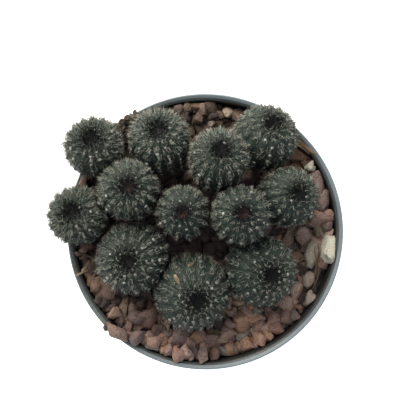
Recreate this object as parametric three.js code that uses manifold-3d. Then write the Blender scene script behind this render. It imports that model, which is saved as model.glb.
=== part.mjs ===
// Twelve small globular cacti crowded in a round plastic nursery pot. They root in potting mix under a
// top dressing of crushed lava rock, with a few pale pumice stones.
// Millimetres, +Z up. The origin is the centre of the pot's underside.
import * as THREE from 'three';
import { mergeVertices } from 'three/addons/utils/BufferGeometryUtils.js';
import Module from 'manifold-3d';

const wasm = await Module();
wasm.setup();

// The pot
const POT_HEIGHT = 76;
const RIM_RADIUS = 45;
const RIM_WIDTH = 1.65;
const RIM_DEPTH = 1.8;
const COLLAR_HEIGHT = 10;
const COLLAR_RADIUS = 43.9;
const COLLAR_TAPER = 0.5;
const SHOULDER_RADIUS = 41.6;
const BASE_RADIUS = 31.5;
const WALL = 1.1;
const FLOOR = 1.3;
const FLOOR_RISE = 1.5;
const HUB_RADIUS = 14;
const FOOT_INSIDE_RADIUS = 26;
const EDGE = 0.3;
const POT_SIDES = 36;
const DRAIN_HOLES = 8;
const DRAIN_RADIUS = 2.6;
const DRAIN_CIRCLE = 20;

// The filling
const CLEARANCE = 0.3;
const SOIL_TOP = 56;
const DRESSING_TOP = 66.5;
const DRESSING_SLOPE_X = -0.07;
const DRESSING_SLOPE_Y = -0.02;
const STONE_SPACING = 7;
const STONE_RADIUS = 3.4;
const STONE_ROWS = 9;
const ROW_PITCH = 0.87;
const BED_SIDES = 24;
const BED_RINGS = [18, 31.5];

// Heaps, where the dressing is banked up against the wall
const HEAPS = [
  { x: -24, y: -33, height: 6, reach: 12 },
  { x: -25, y: 36, height: 6, reach: 9 },
  { x: 2, y: 40, height: 4, reach: 12 },
  { x: 36, y: 24, height: 4, reach: 8 },
  { x: -8, y: 43, height: 4.5, reach: 9 },
  { x: 41, y: 9, height: 4, reach: 12 },
  { x: 41, y: -5, height: 5, reach: 8 },
  { x: -7, y: -42, height: 6, reach: 9 },
];

// Stones of the dressing that lie up on the rim
const RIM_STONES = [
  { x: -30, y: -30.4, z: 75.4, radius: 3.7 },
  { x: -28, y: 33.4, z: 75, radius: 3.5 },
  { x: -22, y: 37.4, z: 75, radius: 3.2 },
];

// Pale stones: centre, and half sizes along the wall, across it and up
const PUMICE = {
  pumice_1: { x: 40.6, y: -5.4, z: 74.4, along: 4.7, across: 2.8, up: 2.9 },
  pumice_2: { x: 35.1, y: -7.6, z: 70.8, along: 4.7, across: 2.5, up: 2.6 },
  pumice_3: { x: 34.4, y: -16, z: 68.8, along: 3, across: 2.1, up: 2.1 },
  pumice_4: { x: 34.7, y: -22, z: 70.2, along: 2.7, across: 1.9, up: 2 },
  pumice_5: { x: 7.4, y: 39.1, z: 70.8, along: 2.1, across: 1.8, up: 1.8 },
  pumice_6: { x: 1.9, y: 35.6, z: 71, along: 1.4, across: 1.3, up: 1.4 },
};

// Dry flower remains: the points that each curled strip passes through
const DEBRIS = {
  dry_curl: [
    [-41.9, -14.3, 77.2],
    [-39.7, -13.1, 76],
    [-37.9, -11.9, 75.2],
    [-36.9, -10.2, 75],
    [-37, -8.6, 75.2],
    [-38.4, -7.9, 75.4],
  ],
  dry_husk: [
    [28.8, 29.6, 74.2],
    [30.8, 28.4, 75.8],
    [32.4, 26.9, 76.9],
    [34.4, 25.6, 77.4],
    [36.6, 24.9, 77.5],
  ],
};
const STRIP_WIDTH = 1.2;
const STRIP_THICKNESS = 0.7;

// The heads
const ROOT_TIP = 46;
const ROOTS_DRAWN_IN = 0.74;
const ROOT_REACH = 26;
const OVERHANG = 3;
const CLUMP_CENTRE = new THREE.Vector3(-2, 3, 0);
const CROWN_RISE = 0.84;
const CROWN_DIP = 0.16;
const CROWN_DIP_REACH = 0.3;
const ROUNDNESS = 0.85;
const RIB_DEPTH = 0.085;
const TUBERCLE = 0.35;
const NECK = 0.48;
const STEM = 0.4;
const STEM_SIDES = 6;
const STEM_RINGS = [0.1, 0.6];
const STEM_BEND = 0.15;
const ROOT_BEND = 0.4;
const BARREL = 2.4;
const HEAD_GAP = 0.5;
const SPINE_LENGTH = 2.2;
const SPINE_WIDTH = 0.3;
const SPINE_GAP = 0.35;
const SPINE_SLOPE = THREE.MathUtils.degToRad(32);
const CROWN_RING_ANGLE = 78;
const RING_ANGLES = [64, 48, 32, 16, 0];
const RINGS_BELOW = [0.18, 0.4, 0.66, 1];
const SPINY_RINGS = 7;
const BODY_ROOM_SIDES = 8;

// Each head's place (x, y), the height of its widest section over the rim, the radius there, its
// number of ribs, and how far and to which side its crown leans (degrees)
const HEADS = {
  head_01: { x: -35.5, y: 27.2, rise: 10, radius: 9, ribs: 16, lean: 21, towards: 100 },
  head_02: { x: -14.8, y: 29.5, rise: 9, radius: 9.3, ribs: 16, lean: 27, towards: 97 },
  head_03: { x: 4.3, y: 23.5, rise: 14, radius: 8.9, ribs: 16, lean: 19, towards: 78 },
  head_04: { x: 19.6, y: 31, rise: 5, radius: 9.8, ribs: 16, lean: 35, towards: 62 },
  head_05: { x: 26.9, y: 11.4, rise: 8, radius: 9, ribs: 16, lean: 22, towards: 24 },
  head_06: { x: -40.9, y: 5.3, rise: 11, radius: 8.8, ribs: 16, lean: 15, towards: 133 },
  head_07: { x: -24.4, y: 13.6, rise: 15, radius: 8.9, ribs: 16, lean: 7, towards: 75 },
  head_08: { x: -7.2, y: 6.4, rise: 15, radius: 7.8, ribs: 14, lean: 2, towards: -49 },
  head_09: { x: 11.2, y: 5.6, rise: 16, radius: 8.7, ribs: 16, lean: 5, towards: 58 },
  head_10: { x: -23.5, y: -8.3, rise: 9, radius: 10.9, ribs: 18, lean: 7, towards: 203 },
  head_11: { x: -4.1, y: -19.5, rise: 7, radius: 11.8, ribs: 18, lean: 16, towards: -51 },
  head_12: { x: 17.9, y: -12.6, rise: 6, radius: 11, ribs: 18, lean: 20, towards: -17 },
};

const MATERIALS = {
  plastic: new THREE.MeshStandardMaterial({ color: 0x4a4d4e, roughness: 0.45, metalness: 0 }),
  soil: new THREE.MeshStandardMaterial({ color: 0x3a2c22, roughness: 0.95, metalness: 0 }),
  lava: new THREE.MeshStandardMaterial({ color: 0x6a4f45, roughness: 0.9, metalness: 0 }),
  pumice: new THREE.MeshStandardMaterial({ color: 0xb3a693, roughness: 0.9, metalness: 0 }),
  dry: new THREE.MeshStandardMaterial({ color: 0x9a8060, roughness: 0.85, metalness: 0 }),
  cactus: new THREE.MeshStandardMaterial({ color: 0x4c5444, roughness: 0.6, metalness: 0 }),
};

const UP = new THREE.Vector3(0, 0, 1);
const CHIP = new THREE.BoxGeometry(1.4, 1.3, 1.2);
const PEBBLE = new THREE.IcosahedronGeometry(1, 0);
const collarFoot = POT_HEIGHT - COLLAR_HEIGHT;
const { lerp, clamp, degToRad } = THREE.MathUtils;

// Random numbers from 0 to 1, the same in every run
function seeded(seed) {
  let state = seed;
  return () => {
    state = (state + 0x6d2b79f5) | 0;
    let mixed = Math.imul(state ^ (state >>> 15), 1 | state);
    mixed = (mixed + Math.imul(mixed ^ (mixed >>> 7), 61 | mixed)) ^ mixed;
    return ((mixed ^ (mixed >>> 14)) >>> 0) / 4294967296;
  };
}

// A closed geometry as a solid
function solidOf(geometry) {
  const bare = new THREE.BufferGeometry();
  bare.setAttribute('position', geometry.getAttribute('position'));
  bare.setIndex(geometry.getIndex());
  const merged = mergeVertices(bare, 1e-4);
  const corners = merged.getIndex().array;
  const kept = [];
  for (let i = 0; i < corners.length; i += 3) {
    const [a, b, c] = corners.slice(i, i + 3);
    if (a !== b && b !== c && c !== a) kept.push(a, b, c);
  }
  const vertProperties = merged.getAttribute('position').array;
  return new wasm.Manifold(new wasm.Mesh({ numProp: 3, vertProperties, triVerts: new Uint32Array(kept) }));
}

// A solid's largest body as a geometry
function geometryOf(solid) {
  const bodies = solid.decompose();
  bodies.sort((a, b) => b.volume() - a.volume());
  const mesh = bodies[0].getMesh();
  const geometry = new THREE.BufferGeometry();
  geometry.setAttribute('position', new THREE.BufferAttribute(mesh.vertProperties, 3));
  geometry.setIndex(new THREE.BufferAttribute(mesh.triVerts, 1));
  geometry.computeVertexNormals();
  return geometry;
}

// A profile of radius and height turned round the pot's axis
function turned(profile) {
  const points = profile.map(([radius, z]) => new THREE.Vector2(radius, z));
  const geometry = new THREE.LatheGeometry(points, POT_SIDES);
  geometry.rotateX(Math.PI / 2);
  return solidOf(geometry);
}

// The radius of the wall's inside at a height; the collar's foot has a ledge
function insideRadius(z) {
  if (z > collarFoot) {
    const inside = COLLAR_RADIUS - WALL;
    return lerp(inside - COLLAR_TAPER, inside, (z - collarFoot) / COLLAR_HEIGHT);
  }
  return lerp(BASE_RADIUS - WALL, SHOULDER_RADIUS - WALL, (z - FLOOR) / (collarFoot - FLOOR));
}

function makePot() {
  const channel = HUB_RADIUS + FLOOR_RISE;
  const footStart = FOOT_INSIDE_RADIUS - FLOOR_RISE;
  const corner = WALL / 2;
  const lip = POT_HEIGHT - RIM_DEPTH;
  const ledge = collarFoot + EDGE;
  let pot = turned([
    [0, 0],
    [HUB_RADIUS, 0],
    [channel, FLOOR_RISE],
    [footStart, FLOOR_RISE],
    [FOOT_INSIDE_RADIUS, 0],
    [BASE_RADIUS, 0],
    [SHOULDER_RADIUS, collarFoot - WALL],
    [COLLAR_RADIUS - COLLAR_TAPER, collarFoot - corner],
    [COLLAR_RADIUS, lip],
    [RIM_RADIUS, lip + EDGE],
    [RIM_RADIUS, POT_HEIGHT - EDGE],
    [RIM_RADIUS - EDGE, POT_HEIGHT],
    [RIM_RADIUS - RIM_WIDTH, POT_HEIGHT],
    [insideRadius(POT_HEIGHT - corner), POT_HEIGHT - corner],
    [insideRadius(ledge), ledge],
    [insideRadius(collarFoot), collarFoot],
    [insideRadius(FLOOR + FLOOR_RISE), FLOOR + FLOOR_RISE],
    [0, FLOOR + FLOOR_RISE],
  ]);
  for (let i = 0; i < DRAIN_HOLES; i += 1) {
    const angle = ((i + 0.5) / DRAIN_HOLES) * 2 * Math.PI;
    const drill = new THREE.CylinderGeometry(DRAIN_RADIUS, DRAIN_RADIUS, 3 * FLOOR, 8);
    drill.rotateX(Math.PI / 2);
    drill.translate(Math.cos(angle) * DRAIN_CIRCLE, Math.sin(angle) * DRAIN_CIRCLE, FLOOR_RISE + corner);
    pot = pot.subtract(solidOf(drill));
  }
  return pot;
}

// The wall of the pot with a clearance round it, which cuts the heads that lean on the rim
function makeWallClearance() {
  const top = POT_HEIGHT + CLEARANCE;
  const foot = collarFoot - 2 * COLLAR_HEIGHT;
  return turned([
    [insideRadius(foot) - CLEARANCE, foot],
    [RIM_RADIUS + CLEARANCE, foot],
    [RIM_RADIUS + CLEARANCE, top],
    [insideRadius(POT_HEIGHT) - CLEARANCE, top],
    [insideRadius(collarFoot + EDGE) - CLEARANCE, collarFoot + EDGE],
    [insideRadius(collarFoot) - CLEARANCE, collarFoot + EDGE],
    [insideRadius(foot) - CLEARANCE, foot],
  ]);
}

// The middle line of a head: it leaves the widest section against the lean and bends towards the
// middle of the clump, to a root that goes straight down
function middleLine({ x, y, rise, lean, towards }) {
  const out = Math.sin(degToRad(lean));
  const side = degToRad(towards);
  const axis = new THREE.Vector3(out * Math.cos(side), out * Math.sin(side), Math.cos(degToRad(lean)));
  const centre = new THREE.Vector3(x, y, POT_HEIGHT + rise);
  const outwards = new THREE.Vector3(x, y, 0).sub(CLUMP_CENTRE);
  outwards.setLength(Math.min(outwards.length() * ROOTS_DRAWN_IN, ROOT_REACH));
  const root = CLUMP_CENTRE.clone().add(outwards).setZ(ROOT_TIP);
  const height = centre.z - ROOT_TIP;
  const line = new THREE.CubicBezierCurve3(
    centre,
    centre.clone().addScaledVector(axis, -STEM_BEND * height),
    root.clone().addScaledVector(UP, ROOT_BEND * height),
    root,
  );
  return { axis, line, length: line.getLength() };
}

// The point of a middle line at a distance below the widest section, or above it if negative, with
// the axis there and the two directions across it
function station({ axis, line, length }, below) {
  const along = clamp(below / length, 0, 1);
  const point = line.getPointAt(along);
  const localAxis = line.getTangentAt(along).negate();
  if (below < 0) point.addScaledVector(axis, -below);
  const side = new THREE.Vector3(1, 0, 0).projectOnPlane(localAxis).normalize();
  return { point, axis: localAxis, side, front: localAxis.clone().cross(side) };
}

// How far down the middle line the ribbed body reaches: to just over the dressing, or over the rim
// where the head hangs out past it
function bodyLength({ x, y, radius }, core) {
  const overhangs = Math.hypot(x, y) + radius > RIM_RADIUS + OVERHANG;
  const foot = overhangs ? POT_HEIGHT + 1 : DRESSING_TOP + 2;
  let below = 0;
  while (station(core, below).point.z > foot) below += 0.5;
  return below;
}

// The radius of a head at a distance below its widest section: body, stem and tapering root
function radiusBelow({ radius, body, core }, below) {
  if (below <= body) return radius * (1 - (1 - NECK) * (below / body) ** BARREL);
  const share = (below - body) / (core.length - body);
  return radius * STEM * Math.sqrt(1 - share);
}

const heads = Object.entries(HEADS).map(([name, given]) => {
  const core = middleLine(given);
  const head = { name, ...given, core, body: bodyLength(given, core) };
  head.balls = [];
  for (let below = 0; below < core.length; below += 2) {
    head.balls.push({ centre: station(core, below).point, radius: radiusBelow(head, below) });
  }
  return head;
});

// The distance of a point from a head without its ribs and spines, negative inside
function distanceFrom(head, point) {
  return Math.min(...head.balls.map((ball) => ball.centre.distanceTo(point) - ball.radius));
}

// How much closer a point is to its own head than to the nearest neighbour
function roomAt(own, point) {
  const others = heads.filter((head) => head !== own);
  return Math.min(...others.map((head) => distanceFrom(head, point))) - distanceFrom(own, point);
}

// Whether a point is inside the pot's wall or over its rim
function clearOfPot(point, gap) {
  return point.z > POT_HEIGHT + gap || Math.hypot(point.x, point.y) < insideRadius(point.z) - gap;
}

// One knot of a head's surface: a point on the ring round a middle point, pushed out or in along
// the surface's normal, and drawn in where a neighbour presses on it
function makeKnot(head, { point, axis, side, front }, ring, turn, push) {
  const outwards = side.clone().multiplyScalar(Math.cos(turn)).addScaledVector(front, Math.sin(turn));
  const normal = outwards.clone().multiplyScalar(Math.cos(ring.slope));
  normal.addScaledVector(axis, Math.sin(ring.slope));
  const full = point.clone().addScaledVector(outwards, ring.radius).addScaledVector(normal, push);
  let share = 1;
  const at = full.clone();
  while (share > 0.3 && roomAt(head, at) < HEAD_GAP) {
    share -= 0.02;
    at.lerpVectors(point, full, share);
  }
  return { at, normal, axis, pressed: share < 1 };
}

// The rings of a head from its crown down: height over or under the widest section, radius, slope
// of the surface, number of knots, and whether it carries ribs
function ringPlan(head) {
  const { radius, ribs, body, core } = head;
  const above = (degrees, knots) => {
    const angle = degToRad(degrees);
    const across = Math.cos(angle) ** ROUNDNESS;
    const dip = CROWN_DIP * Math.exp(-((across / CROWN_DIP_REACH) ** 2));
    const below = -radius * (CROWN_RISE * Math.sin(angle) - dip);
    return { below, radius: radius * across, slope: angle, knots, ribbed: true };
  };
  const under = (below, knots, ribbed) => {
    return { below, radius: radiusBelow(head, below), slope: 0, knots, ribbed };
  };
  const root = core.length - body;
  return [
    { ...above(90, 1), ribbed: false },
    above(CROWN_RING_ANGLE, ribs),
    ...RING_ANGLES.map((degrees) => above(degrees, 2 * ribs)),
    ...RINGS_BELOW.map((share) => under(share * body, 2 * ribs, true)),
    ...STEM_RINGS.map((share) => under(body + share * root, STEM_SIDES, false)),
    under(core.length, 1, false),
  ];
}

// The knots of each ring. Ribs are every second column; tubercles stand on every second ring of a
// rib, shifted by one ring from rib to rib.
function makeRings(head) {
  return ringPlan(head).map((ring, row) => {
    const middle = station(head.core, ring.below);
    return Array.from({ length: ring.knots }, (_, column) => {
      const onRib = ring.knots === head.ribs || column % 2 === 0;
      const rib = ring.knots === head.ribs ? column : column / 2;
      const areole = ring.ribbed && onRib && (row + rib) % 2 === 0;
      const groove = ring.ribbed && !onRib ? Math.min(0.14 * ring.radius, RIB_DEPTH * head.radius) : 0;
      const push = areole ? TUBERCLE : -groove;
      return { ...makeKnot(head, middle, ring, (column / ring.knots) * 2 * Math.PI, push), areole };
    });
  });
}

// The faces between two rings of as many knots, with diagonals that run out from the tubercles
function facesBetweenAlike(upper, lower) {
  const faces = [];
  upper.forEach((a, i) => {
    const next = (i + 1) % upper.length;
    const [b, c, d] = [upper[next], lower[i], lower[next]];
    if (a.areole || d.areole) faces.push([a, c, d], [a, d, b]);
    else faces.push([a, c, b], [b, c, d]);
  });
  return faces;
}

// The faces between two rings of any numbers of knots
function facesBetween(upper, lower) {
  if (upper.length === lower.length) return facesBetweenAlike(upper, lower);
  const faces = [];
  let i = 0;
  let j = 0;
  const upperSteps = upper.length > 1 ? upper.length : 0;
  const lowerSteps = lower.length > 1 ? lower.length : 0;
  while (i < upperSteps || j < lowerSteps) {
    const a = upper[i % upper.length];
    const c = lower[j % lower.length];
    const upperFirst = (i + 1) / upperSteps < (j + 1) / lowerSteps;
    if (j === lowerSteps || (i < upperSteps && upperFirst)) {
      i += 1;
      faces.push([a, c, upper[i % upper.length]]);
    } else {
      j += 1;
      faces.push([a, c, lower[j % lower.length]]);
    }
  }
  return faces;
}

// A three-sided spine grown out of a knot of a surface: the knot opens into a small triangle, which
// the spine stands on
function growSpine(faces, knot, tip) {
  const fan = faces.filter((face) => face.includes(knot));
  const following = new Map(fan.map((face) => [face[(face.indexOf(knot) + 1) % 3], face]));
  const around = [fan[0][(fan[0].indexOf(knot) + 1) % 3]];
  const fanFaces = [];
  while (fanFaces.length < fan.length) {
    const face = following.get(around.at(-1));
    fanFaces.push(face);
    around.push(face[(face.indexOf(knot) + 2) % 3]);
  }
  const thirdOf = (i) => Math.floor(((i % fan.length) * 3) / fan.length);
  const corners = [0, 1, 2].map((third) => {
    const towards = around[Math.round(((third + 0.5) * fan.length) / 3)];
    const offset = towards.at.clone().sub(knot.at).setLength(SPINE_WIDTH);
    return { at: knot.at.clone().add(offset) };
  });
  fanFaces.forEach((face, i) => {
    const corner = corners[thirdOf(i)];
    const nextCorner = corners[thirdOf(i + 1)];
    face[face.indexOf(knot)] = corner;
    if (corner !== nextCorner) faces.push([corner, around[i + 1], nextCorner]);
  });
  const apex = { at: tip };
  corners.forEach((corner, third) => faces.push([corner, corners[(third + 1) % 3], apex]));
}

// The tip of a spine that leans over the surface to whichever side is free, or null if none is
function freeTip(head, knot, random) {
  const length = SPINE_LENGTH * lerp(0.85, 1.15, random());
  const start = random() * 2 * Math.PI;
  const across = knot.axis.clone().cross(knot.normal).normalize();
  const along = knot.normal.clone().cross(across);
  for (let turn = 0; turn < 2 * Math.PI; turn += Math.PI / 3) {
    const tip = knot.at.clone().addScaledVector(knot.normal, length * Math.sin(SPINE_SLOPE));
    tip.addScaledVector(across, length * Math.cos(SPINE_SLOPE) * Math.cos(start + turn));
    tip.addScaledVector(along, length * Math.cos(SPINE_SLOPE) * Math.sin(start + turn));
    if (roomAt(head, tip) > SPINE_GAP && clearOfPot(tip, 2 * CLEARANCE)) return tip;
  }
  return null;
}

// Knots and faces as a solid
function solidOfFaces(faces) {
  const geometry = new THREE.BufferGeometry();
  const corners = faces.flat().flatMap((knot) => knot.at.toArray());
  geometry.setAttribute('position', new THREE.Float32BufferAttribute(corners, 3));
  return solidOf(geometry);
}

function makeHead(head, seed, wallClearance) {
  const random = seeded(seed);
  const rings = makeRings(head);
  const faces = rings.slice(1).flatMap((ring, i) => facesBetween(rings[i], ring));
  const [[crown], crownRing] = rings;
  const spiny = rings.slice(2, 2 + SPINY_RINGS).flat();
  spiny.filter((knot) => knot.areole && !knot.pressed).forEach((knot) => {
    const tip = freeTip(head, knot, random);
    if (tip) growSpine(faces, knot, tip);
  });
  [crown, ...crownRing.filter((knot) => knot.areole)].forEach((knot) => {
    const tip = knot.at.clone().addScaledVector(knot.axis, SPINE_LENGTH);
    tip.addScaledVector(knot.normal, 0.2 * SPINE_LENGTH);
    growSpine(faces, knot, tip);
  });
  const solid = solidOfFaces(faces);
  return solid.intersect(wallClearance).volume() > 0 ? solid.subtract(wallClearance) : solid;
}

// The space that a head takes in the soil and the dressing: its root and stem with a clearance, and
// its body with room for the spines
function makeHeadClearance(head) {
  const { radius, body, core } = head;
  const root = core.length - body;
  const stemRing = (share, room) => {
    const below = body + share * root;
    return { below, radius: radiusBelow(head, below) + room, knots: STEM_SIDES };
  };
  const plan = [
    { below: 0, radius: 0, knots: 1 },
    { below: 0.5 * body, radius: radius + SPINE_LENGTH, knots: BODY_ROOM_SIDES },
    stemRing(0, 5 * CLEARANCE),
    ...STEM_RINGS.map((share) => stemRing(share, 3 * CLEARANCE)),
    stemRing(1, 2 * CLEARANCE),
    { below: core.length, radius: 0, knots: 1, drop: 2 * CLEARANCE },
  ];
  const rings = plan.map(({ below, radius: ringRadius, knots, drop = 0 }) => {
    const { point, axis, side, front } = station(core, below);
    point.addScaledVector(axis, -drop);
    return Array.from({ length: knots }, (_, i) => {
      const turn = (i / knots) * 2 * Math.PI;
      const at = point.clone().addScaledVector(side, ringRadius * Math.cos(turn));
      return { at: at.addScaledVector(front, ringRadius * Math.sin(turn)) };
    });
  });
  return solidOfFaces(rings.slice(1).flatMap((ring, i) => facesBetween(rings[i], ring)));
}

function makeSoil(rootRoom) {
  const foot = FLOOR + FLOOR_RISE + CLEARANCE;
  const soil = turned([
    [0, foot],
    [insideRadius(foot) - CLEARANCE, foot],
    [insideRadius(SOIL_TOP) - CLEARANCE, SOIL_TOP],
    [0, SOIL_TOP],
  ]);
  return soil.subtract(rootRoom);
}

// The height of the dressing's bed at a place
function dressingHeight(x, y) {
  const slope = DRESSING_TOP + DRESSING_SLOPE_X * x + DRESSING_SLOPE_Y * y;
  return HEAPS.reduce((height, heap) => {
    const away = Math.hypot(x - heap.x, y - heap.y) / heap.reach;
    return height + heap.height * Math.exp(-(away ** 2));
  }, slope);
}

// A crushed stone with uneven corners, made from a plain closed geometry of about unit radius
function makeStone(shape, random, { x, y, z, turn = 0 }, halfSizes) {
  const bare = shape.clone();
  bare.deleteAttribute('normal');
  bare.deleteAttribute('uv');
  const lump = mergeVertices(bare);
  const place = lump.getAttribute('position');
  for (let i = 0; i < place.count; i += 1) {
    const corner = new THREE.Vector3().fromBufferAttribute(place, i);
    place.setXYZ(i, ...corner.multiplyScalar(lerp(0.82, 1.08, random())));
  }
  lump.rotateX(random() * Math.PI);
  lump.scale(...halfSizes);
  lump.rotateZ(turn);
  lump.translate(x, y, z);
  return solidOf(lump);
}

// Where loose stones lie: a shaken grid over the dressing, but not under the heads
function stonePlaces(random) {
  const places = [];
  const reach = insideRadius(POT_HEIGHT) - 0.5 * STONE_RADIUS;
  const shake = () => 0.5 * (random() - 0.5);
  for (let row = -STONE_ROWS; row <= STONE_ROWS; row += 1) {
    for (let column = -STONE_ROWS; column <= STONE_ROWS; column += 1) {
      const x = (column + (row % 2) / 2 + shake()) * STONE_SPACING;
      const y = (row * ROW_PITCH + shake()) * STONE_SPACING;
      const hidden = heads.some((head) => Math.hypot(x - head.x, y - head.y) < head.radius - 1);
      if (Math.hypot(x, y) < reach && !hidden) places.push({ x, y });
    }
  }
  return places;
}

// The dressing's bed: rings out to the wall over the heaps and hollows, and down past the ledge
// where it lies higher
function makeBed() {
  const floor = SOIL_TOP + CLEARANCE;
  const gap = 2 * CLEARANCE;
  const ledge = collarFoot + EDGE + CLEARANCE;
  const inner = insideRadius(collarFoot) - gap;
  const outer = insideRadius(collarFoot + EDGE) - gap;
  const spokes = Array.from({ length: BED_SIDES }, (_, i) => {
    const turn = (i / BED_SIDES) * 2 * Math.PI;
    const out = new THREE.Vector3(Math.cos(turn), Math.sin(turn), 0);
    const at = (radius, z) => ({ at: out.clone().multiplyScalar(radius).setZ(z) });
    const onTop = (radius) => at(radius, dressingHeight(radius * out.x, radius * out.y));
    const edge = onTop(outer);
    const overLedge = edge.at.z > ledge + CLEARANCE;
    const low = at(inner, ledge);
    const side = overLedge ? [edge, at(outer, ledge), low] : [low, low, low];
    return [...BED_RINGS.map(onTop), ...side, at(insideRadius(floor) - gap, floor)];
  });
  const rings = spokes[0].map((_, row) => spokes.map((spoke) => spoke[row]));
  rings.unshift([{ at: new THREE.Vector3(0, 0, dressingHeight(0, 0)) }]);
  rings.push([{ at: new THREE.Vector3(0, 0, floor) }]);
  return solidOfFaces(rings.slice(1).flatMap((ring, i) => facesBetween(rings[i], ring)));
}

// The space over the bed that a stone may fill: inside the collar, and out over the rim
function makeStoneSpace() {
  const overRim = POT_HEIGHT + CLEARANCE;
  return turned([
    [0, collarFoot + EDGE + CLEARANCE],
    [insideRadius(collarFoot + EDGE) - CLEARANCE, collarFoot + EDGE + CLEARANCE],
    [insideRadius(POT_HEIGHT) - CLEARANCE, overRim],
    [RIM_RADIUS + STONE_RADIUS, overRim],
    [RIM_RADIUS + STONE_RADIUS, POT_HEIGHT + COLLAR_HEIGHT],
    [0, POT_HEIGHT + COLLAR_HEIGHT],
  ]);
}

function makeDressing(stoneSpace, headRoom, looseRoom) {
  const random = seeded(41);
  const lumps = [makeBed()];
  stonePlaces(random).forEach(({ x, y }) => {
    const radius = STONE_RADIUS * lerp(0.8, 1.15, random());
    const z = dressingHeight(x, y) + lerp(-0.4, 0.3, random()) * radius;
    const limit = insideRadius(z - radius) - 1.2 * radius - 2 * CLEARANCE;
    const drawnIn = Math.min(1, limit / Math.hypot(x, y));
    const place = { x: x * drawnIn, y: y * drawnIn, z, turn: random() * Math.PI };
    const middle = new THREE.Vector3(place.x, place.y, z);
    if (heads.some((head) => distanceFrom(head, middle) < 0.8 * radius)) return;
    lumps.push(makeStone(CHIP, random, place, [radius, radius * 0.85, radius * 0.75]));
  });
  RIM_STONES.forEach(({ radius, ...place }) => {
    const stone = makeStone(PEBBLE, random, place, [radius, radius * 0.8, radius * 0.8]);
    lumps.push(stone.intersect(stoneSpace));
  });
  return wasm.Manifold.union(lumps).subtract(headRoom).subtract(looseRoom);
}

function makePumice({ x, y, z, along, across, up }, seed, grown = 0) {
  const turn = Math.atan2(y, x);
  const halfSizes = [across + grown, along + grown, up + grown];
  return makeStone(PEBBLE, seeded(seed), { x, y, z, turn }, halfSizes);
}

function makeStrip(points, grown = 0) {
  const path = new THREE.CatmullRomCurve3(points.map((point) => new THREE.Vector3(...point)));
  const outline = new THREE.Shape([
    new THREE.Vector2(STRIP_WIDTH / 2 + grown, 0),
    new THREE.Vector2(0, STRIP_THICKNESS / 2 + grown),
    new THREE.Vector2(-STRIP_WIDTH / 2 - grown, 0),
    new THREE.Vector2(0, -STRIP_THICKNESS / 2 - grown),
  ]);
  return solidOf(new THREE.ExtrudeGeometry(outline, { extrudePath: path, steps: 8, bevelEnabled: false }));
}

const model = new THREE.Group();

function addNode(name, solid, material) {
  const mesh = new THREE.Mesh(geometryOf(solid), material);
  mesh.name = name;
  model.add(mesh);
}

const wallClearance = makeWallClearance();
const stoneSpace = makeStoneSpace();
const headRoom = wasm.Manifold.union(heads.map(makeHeadClearance));
const looseRoom = wasm.Manifold.union([
  ...Object.values(PUMICE).map((stone, i) => makePumice(stone, 60 + i, 1.5 * CLEARANCE)),
  ...Object.values(DEBRIS).map((points) => makeStrip(points, CLEARANCE)),
]);

addNode('pot', makePot(), MATERIALS.plastic);
addNode('soil', makeSoil(headRoom), MATERIALS.soil);
addNode('gravel_lava', makeDressing(stoneSpace, headRoom, looseRoom), MATERIALS.lava);
Object.entries(PUMICE).forEach(([name, stone], i) => {
  addNode(name, makePumice(stone, 60 + i).intersect(stoneSpace), MATERIALS.pumice);
});
Object.entries(DEBRIS).forEach(([name, points]) => addNode(name, makeStrip(points), MATERIALS.dry));
heads.forEach((head, i) => addNode(head.name, makeHead(head, 100 + i, wallClearance), MATERIALS.cactus));

export default model;
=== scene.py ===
"""A clump of twelve small globular cacti in a round plastic nursery pot, dressed with crushed lava rock."""

import itertools
import math

import bpy
import numpy as np
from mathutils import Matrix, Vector


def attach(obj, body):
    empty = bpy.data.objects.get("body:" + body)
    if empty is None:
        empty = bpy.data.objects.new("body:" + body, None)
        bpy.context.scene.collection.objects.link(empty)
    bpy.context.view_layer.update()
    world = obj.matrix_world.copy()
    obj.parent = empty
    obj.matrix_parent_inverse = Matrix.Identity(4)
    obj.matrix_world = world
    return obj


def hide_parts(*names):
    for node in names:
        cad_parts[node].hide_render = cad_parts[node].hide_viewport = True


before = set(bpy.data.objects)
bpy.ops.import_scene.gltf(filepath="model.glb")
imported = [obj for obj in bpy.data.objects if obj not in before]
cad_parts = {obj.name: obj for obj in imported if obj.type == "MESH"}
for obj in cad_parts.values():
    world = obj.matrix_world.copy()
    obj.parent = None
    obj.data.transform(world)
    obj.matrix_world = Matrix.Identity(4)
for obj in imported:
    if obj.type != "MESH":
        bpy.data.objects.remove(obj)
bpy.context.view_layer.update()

bl_info = {
    "name": "Potted globular cacti",
    "version": (1, 0, 0),
    "blender": (4, 5, 0),
    "location": "3D View > Sidebar > Cacti",
    "description": "Builds a nursery pot crowded with small ribbed cacti",
    "category": "Object",
}

MM = 0.001

# The pot, in millimetres as in the solids
RIM_TOP = 76
RIM_RADIUS = 45
RIM_DEPTH = 1.8
# Stones under the rim's rounded edge keep inside the wall, and those beside it inside this radius
RIM_EDGE = 75.4
RIM_INSIDE = 43.1
COLLAR_HEIGHT = 10
COLLAR_FOOT = RIM_TOP - COLLAR_HEIGHT
COLLAR_RADIUS = 43.9
COLLAR_TAPER = 0.5
SHOULDER_RADIUS = 41.6
BASE_RADIUS = 31.5
WALL = 1.1
FLOOR = 1.3
FLOOR_RISE = 1.5
HUB_RADIUS = 14
FOOT_INSIDE_RADIUS = 26
DRAIN_HOLES = 8
DRAIN_CIRCLE = 20
POT_SIDES = 144
# The side of the rim, in degrees, towards which it is speckled browner and darker
BROWNER_SIDE = 178

# The filling
SOIL_TOP = 56
DRESSING_TOP = 66.5
DRESSING_SLOPE = (-0.07, -0.02)
# How far the fine bed lies under the dressing's top
BED_DEPTH = 1.6
SOIL_GAP = 0.35
SOIL_SIDES = 96
BED_SIDES = 72
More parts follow.
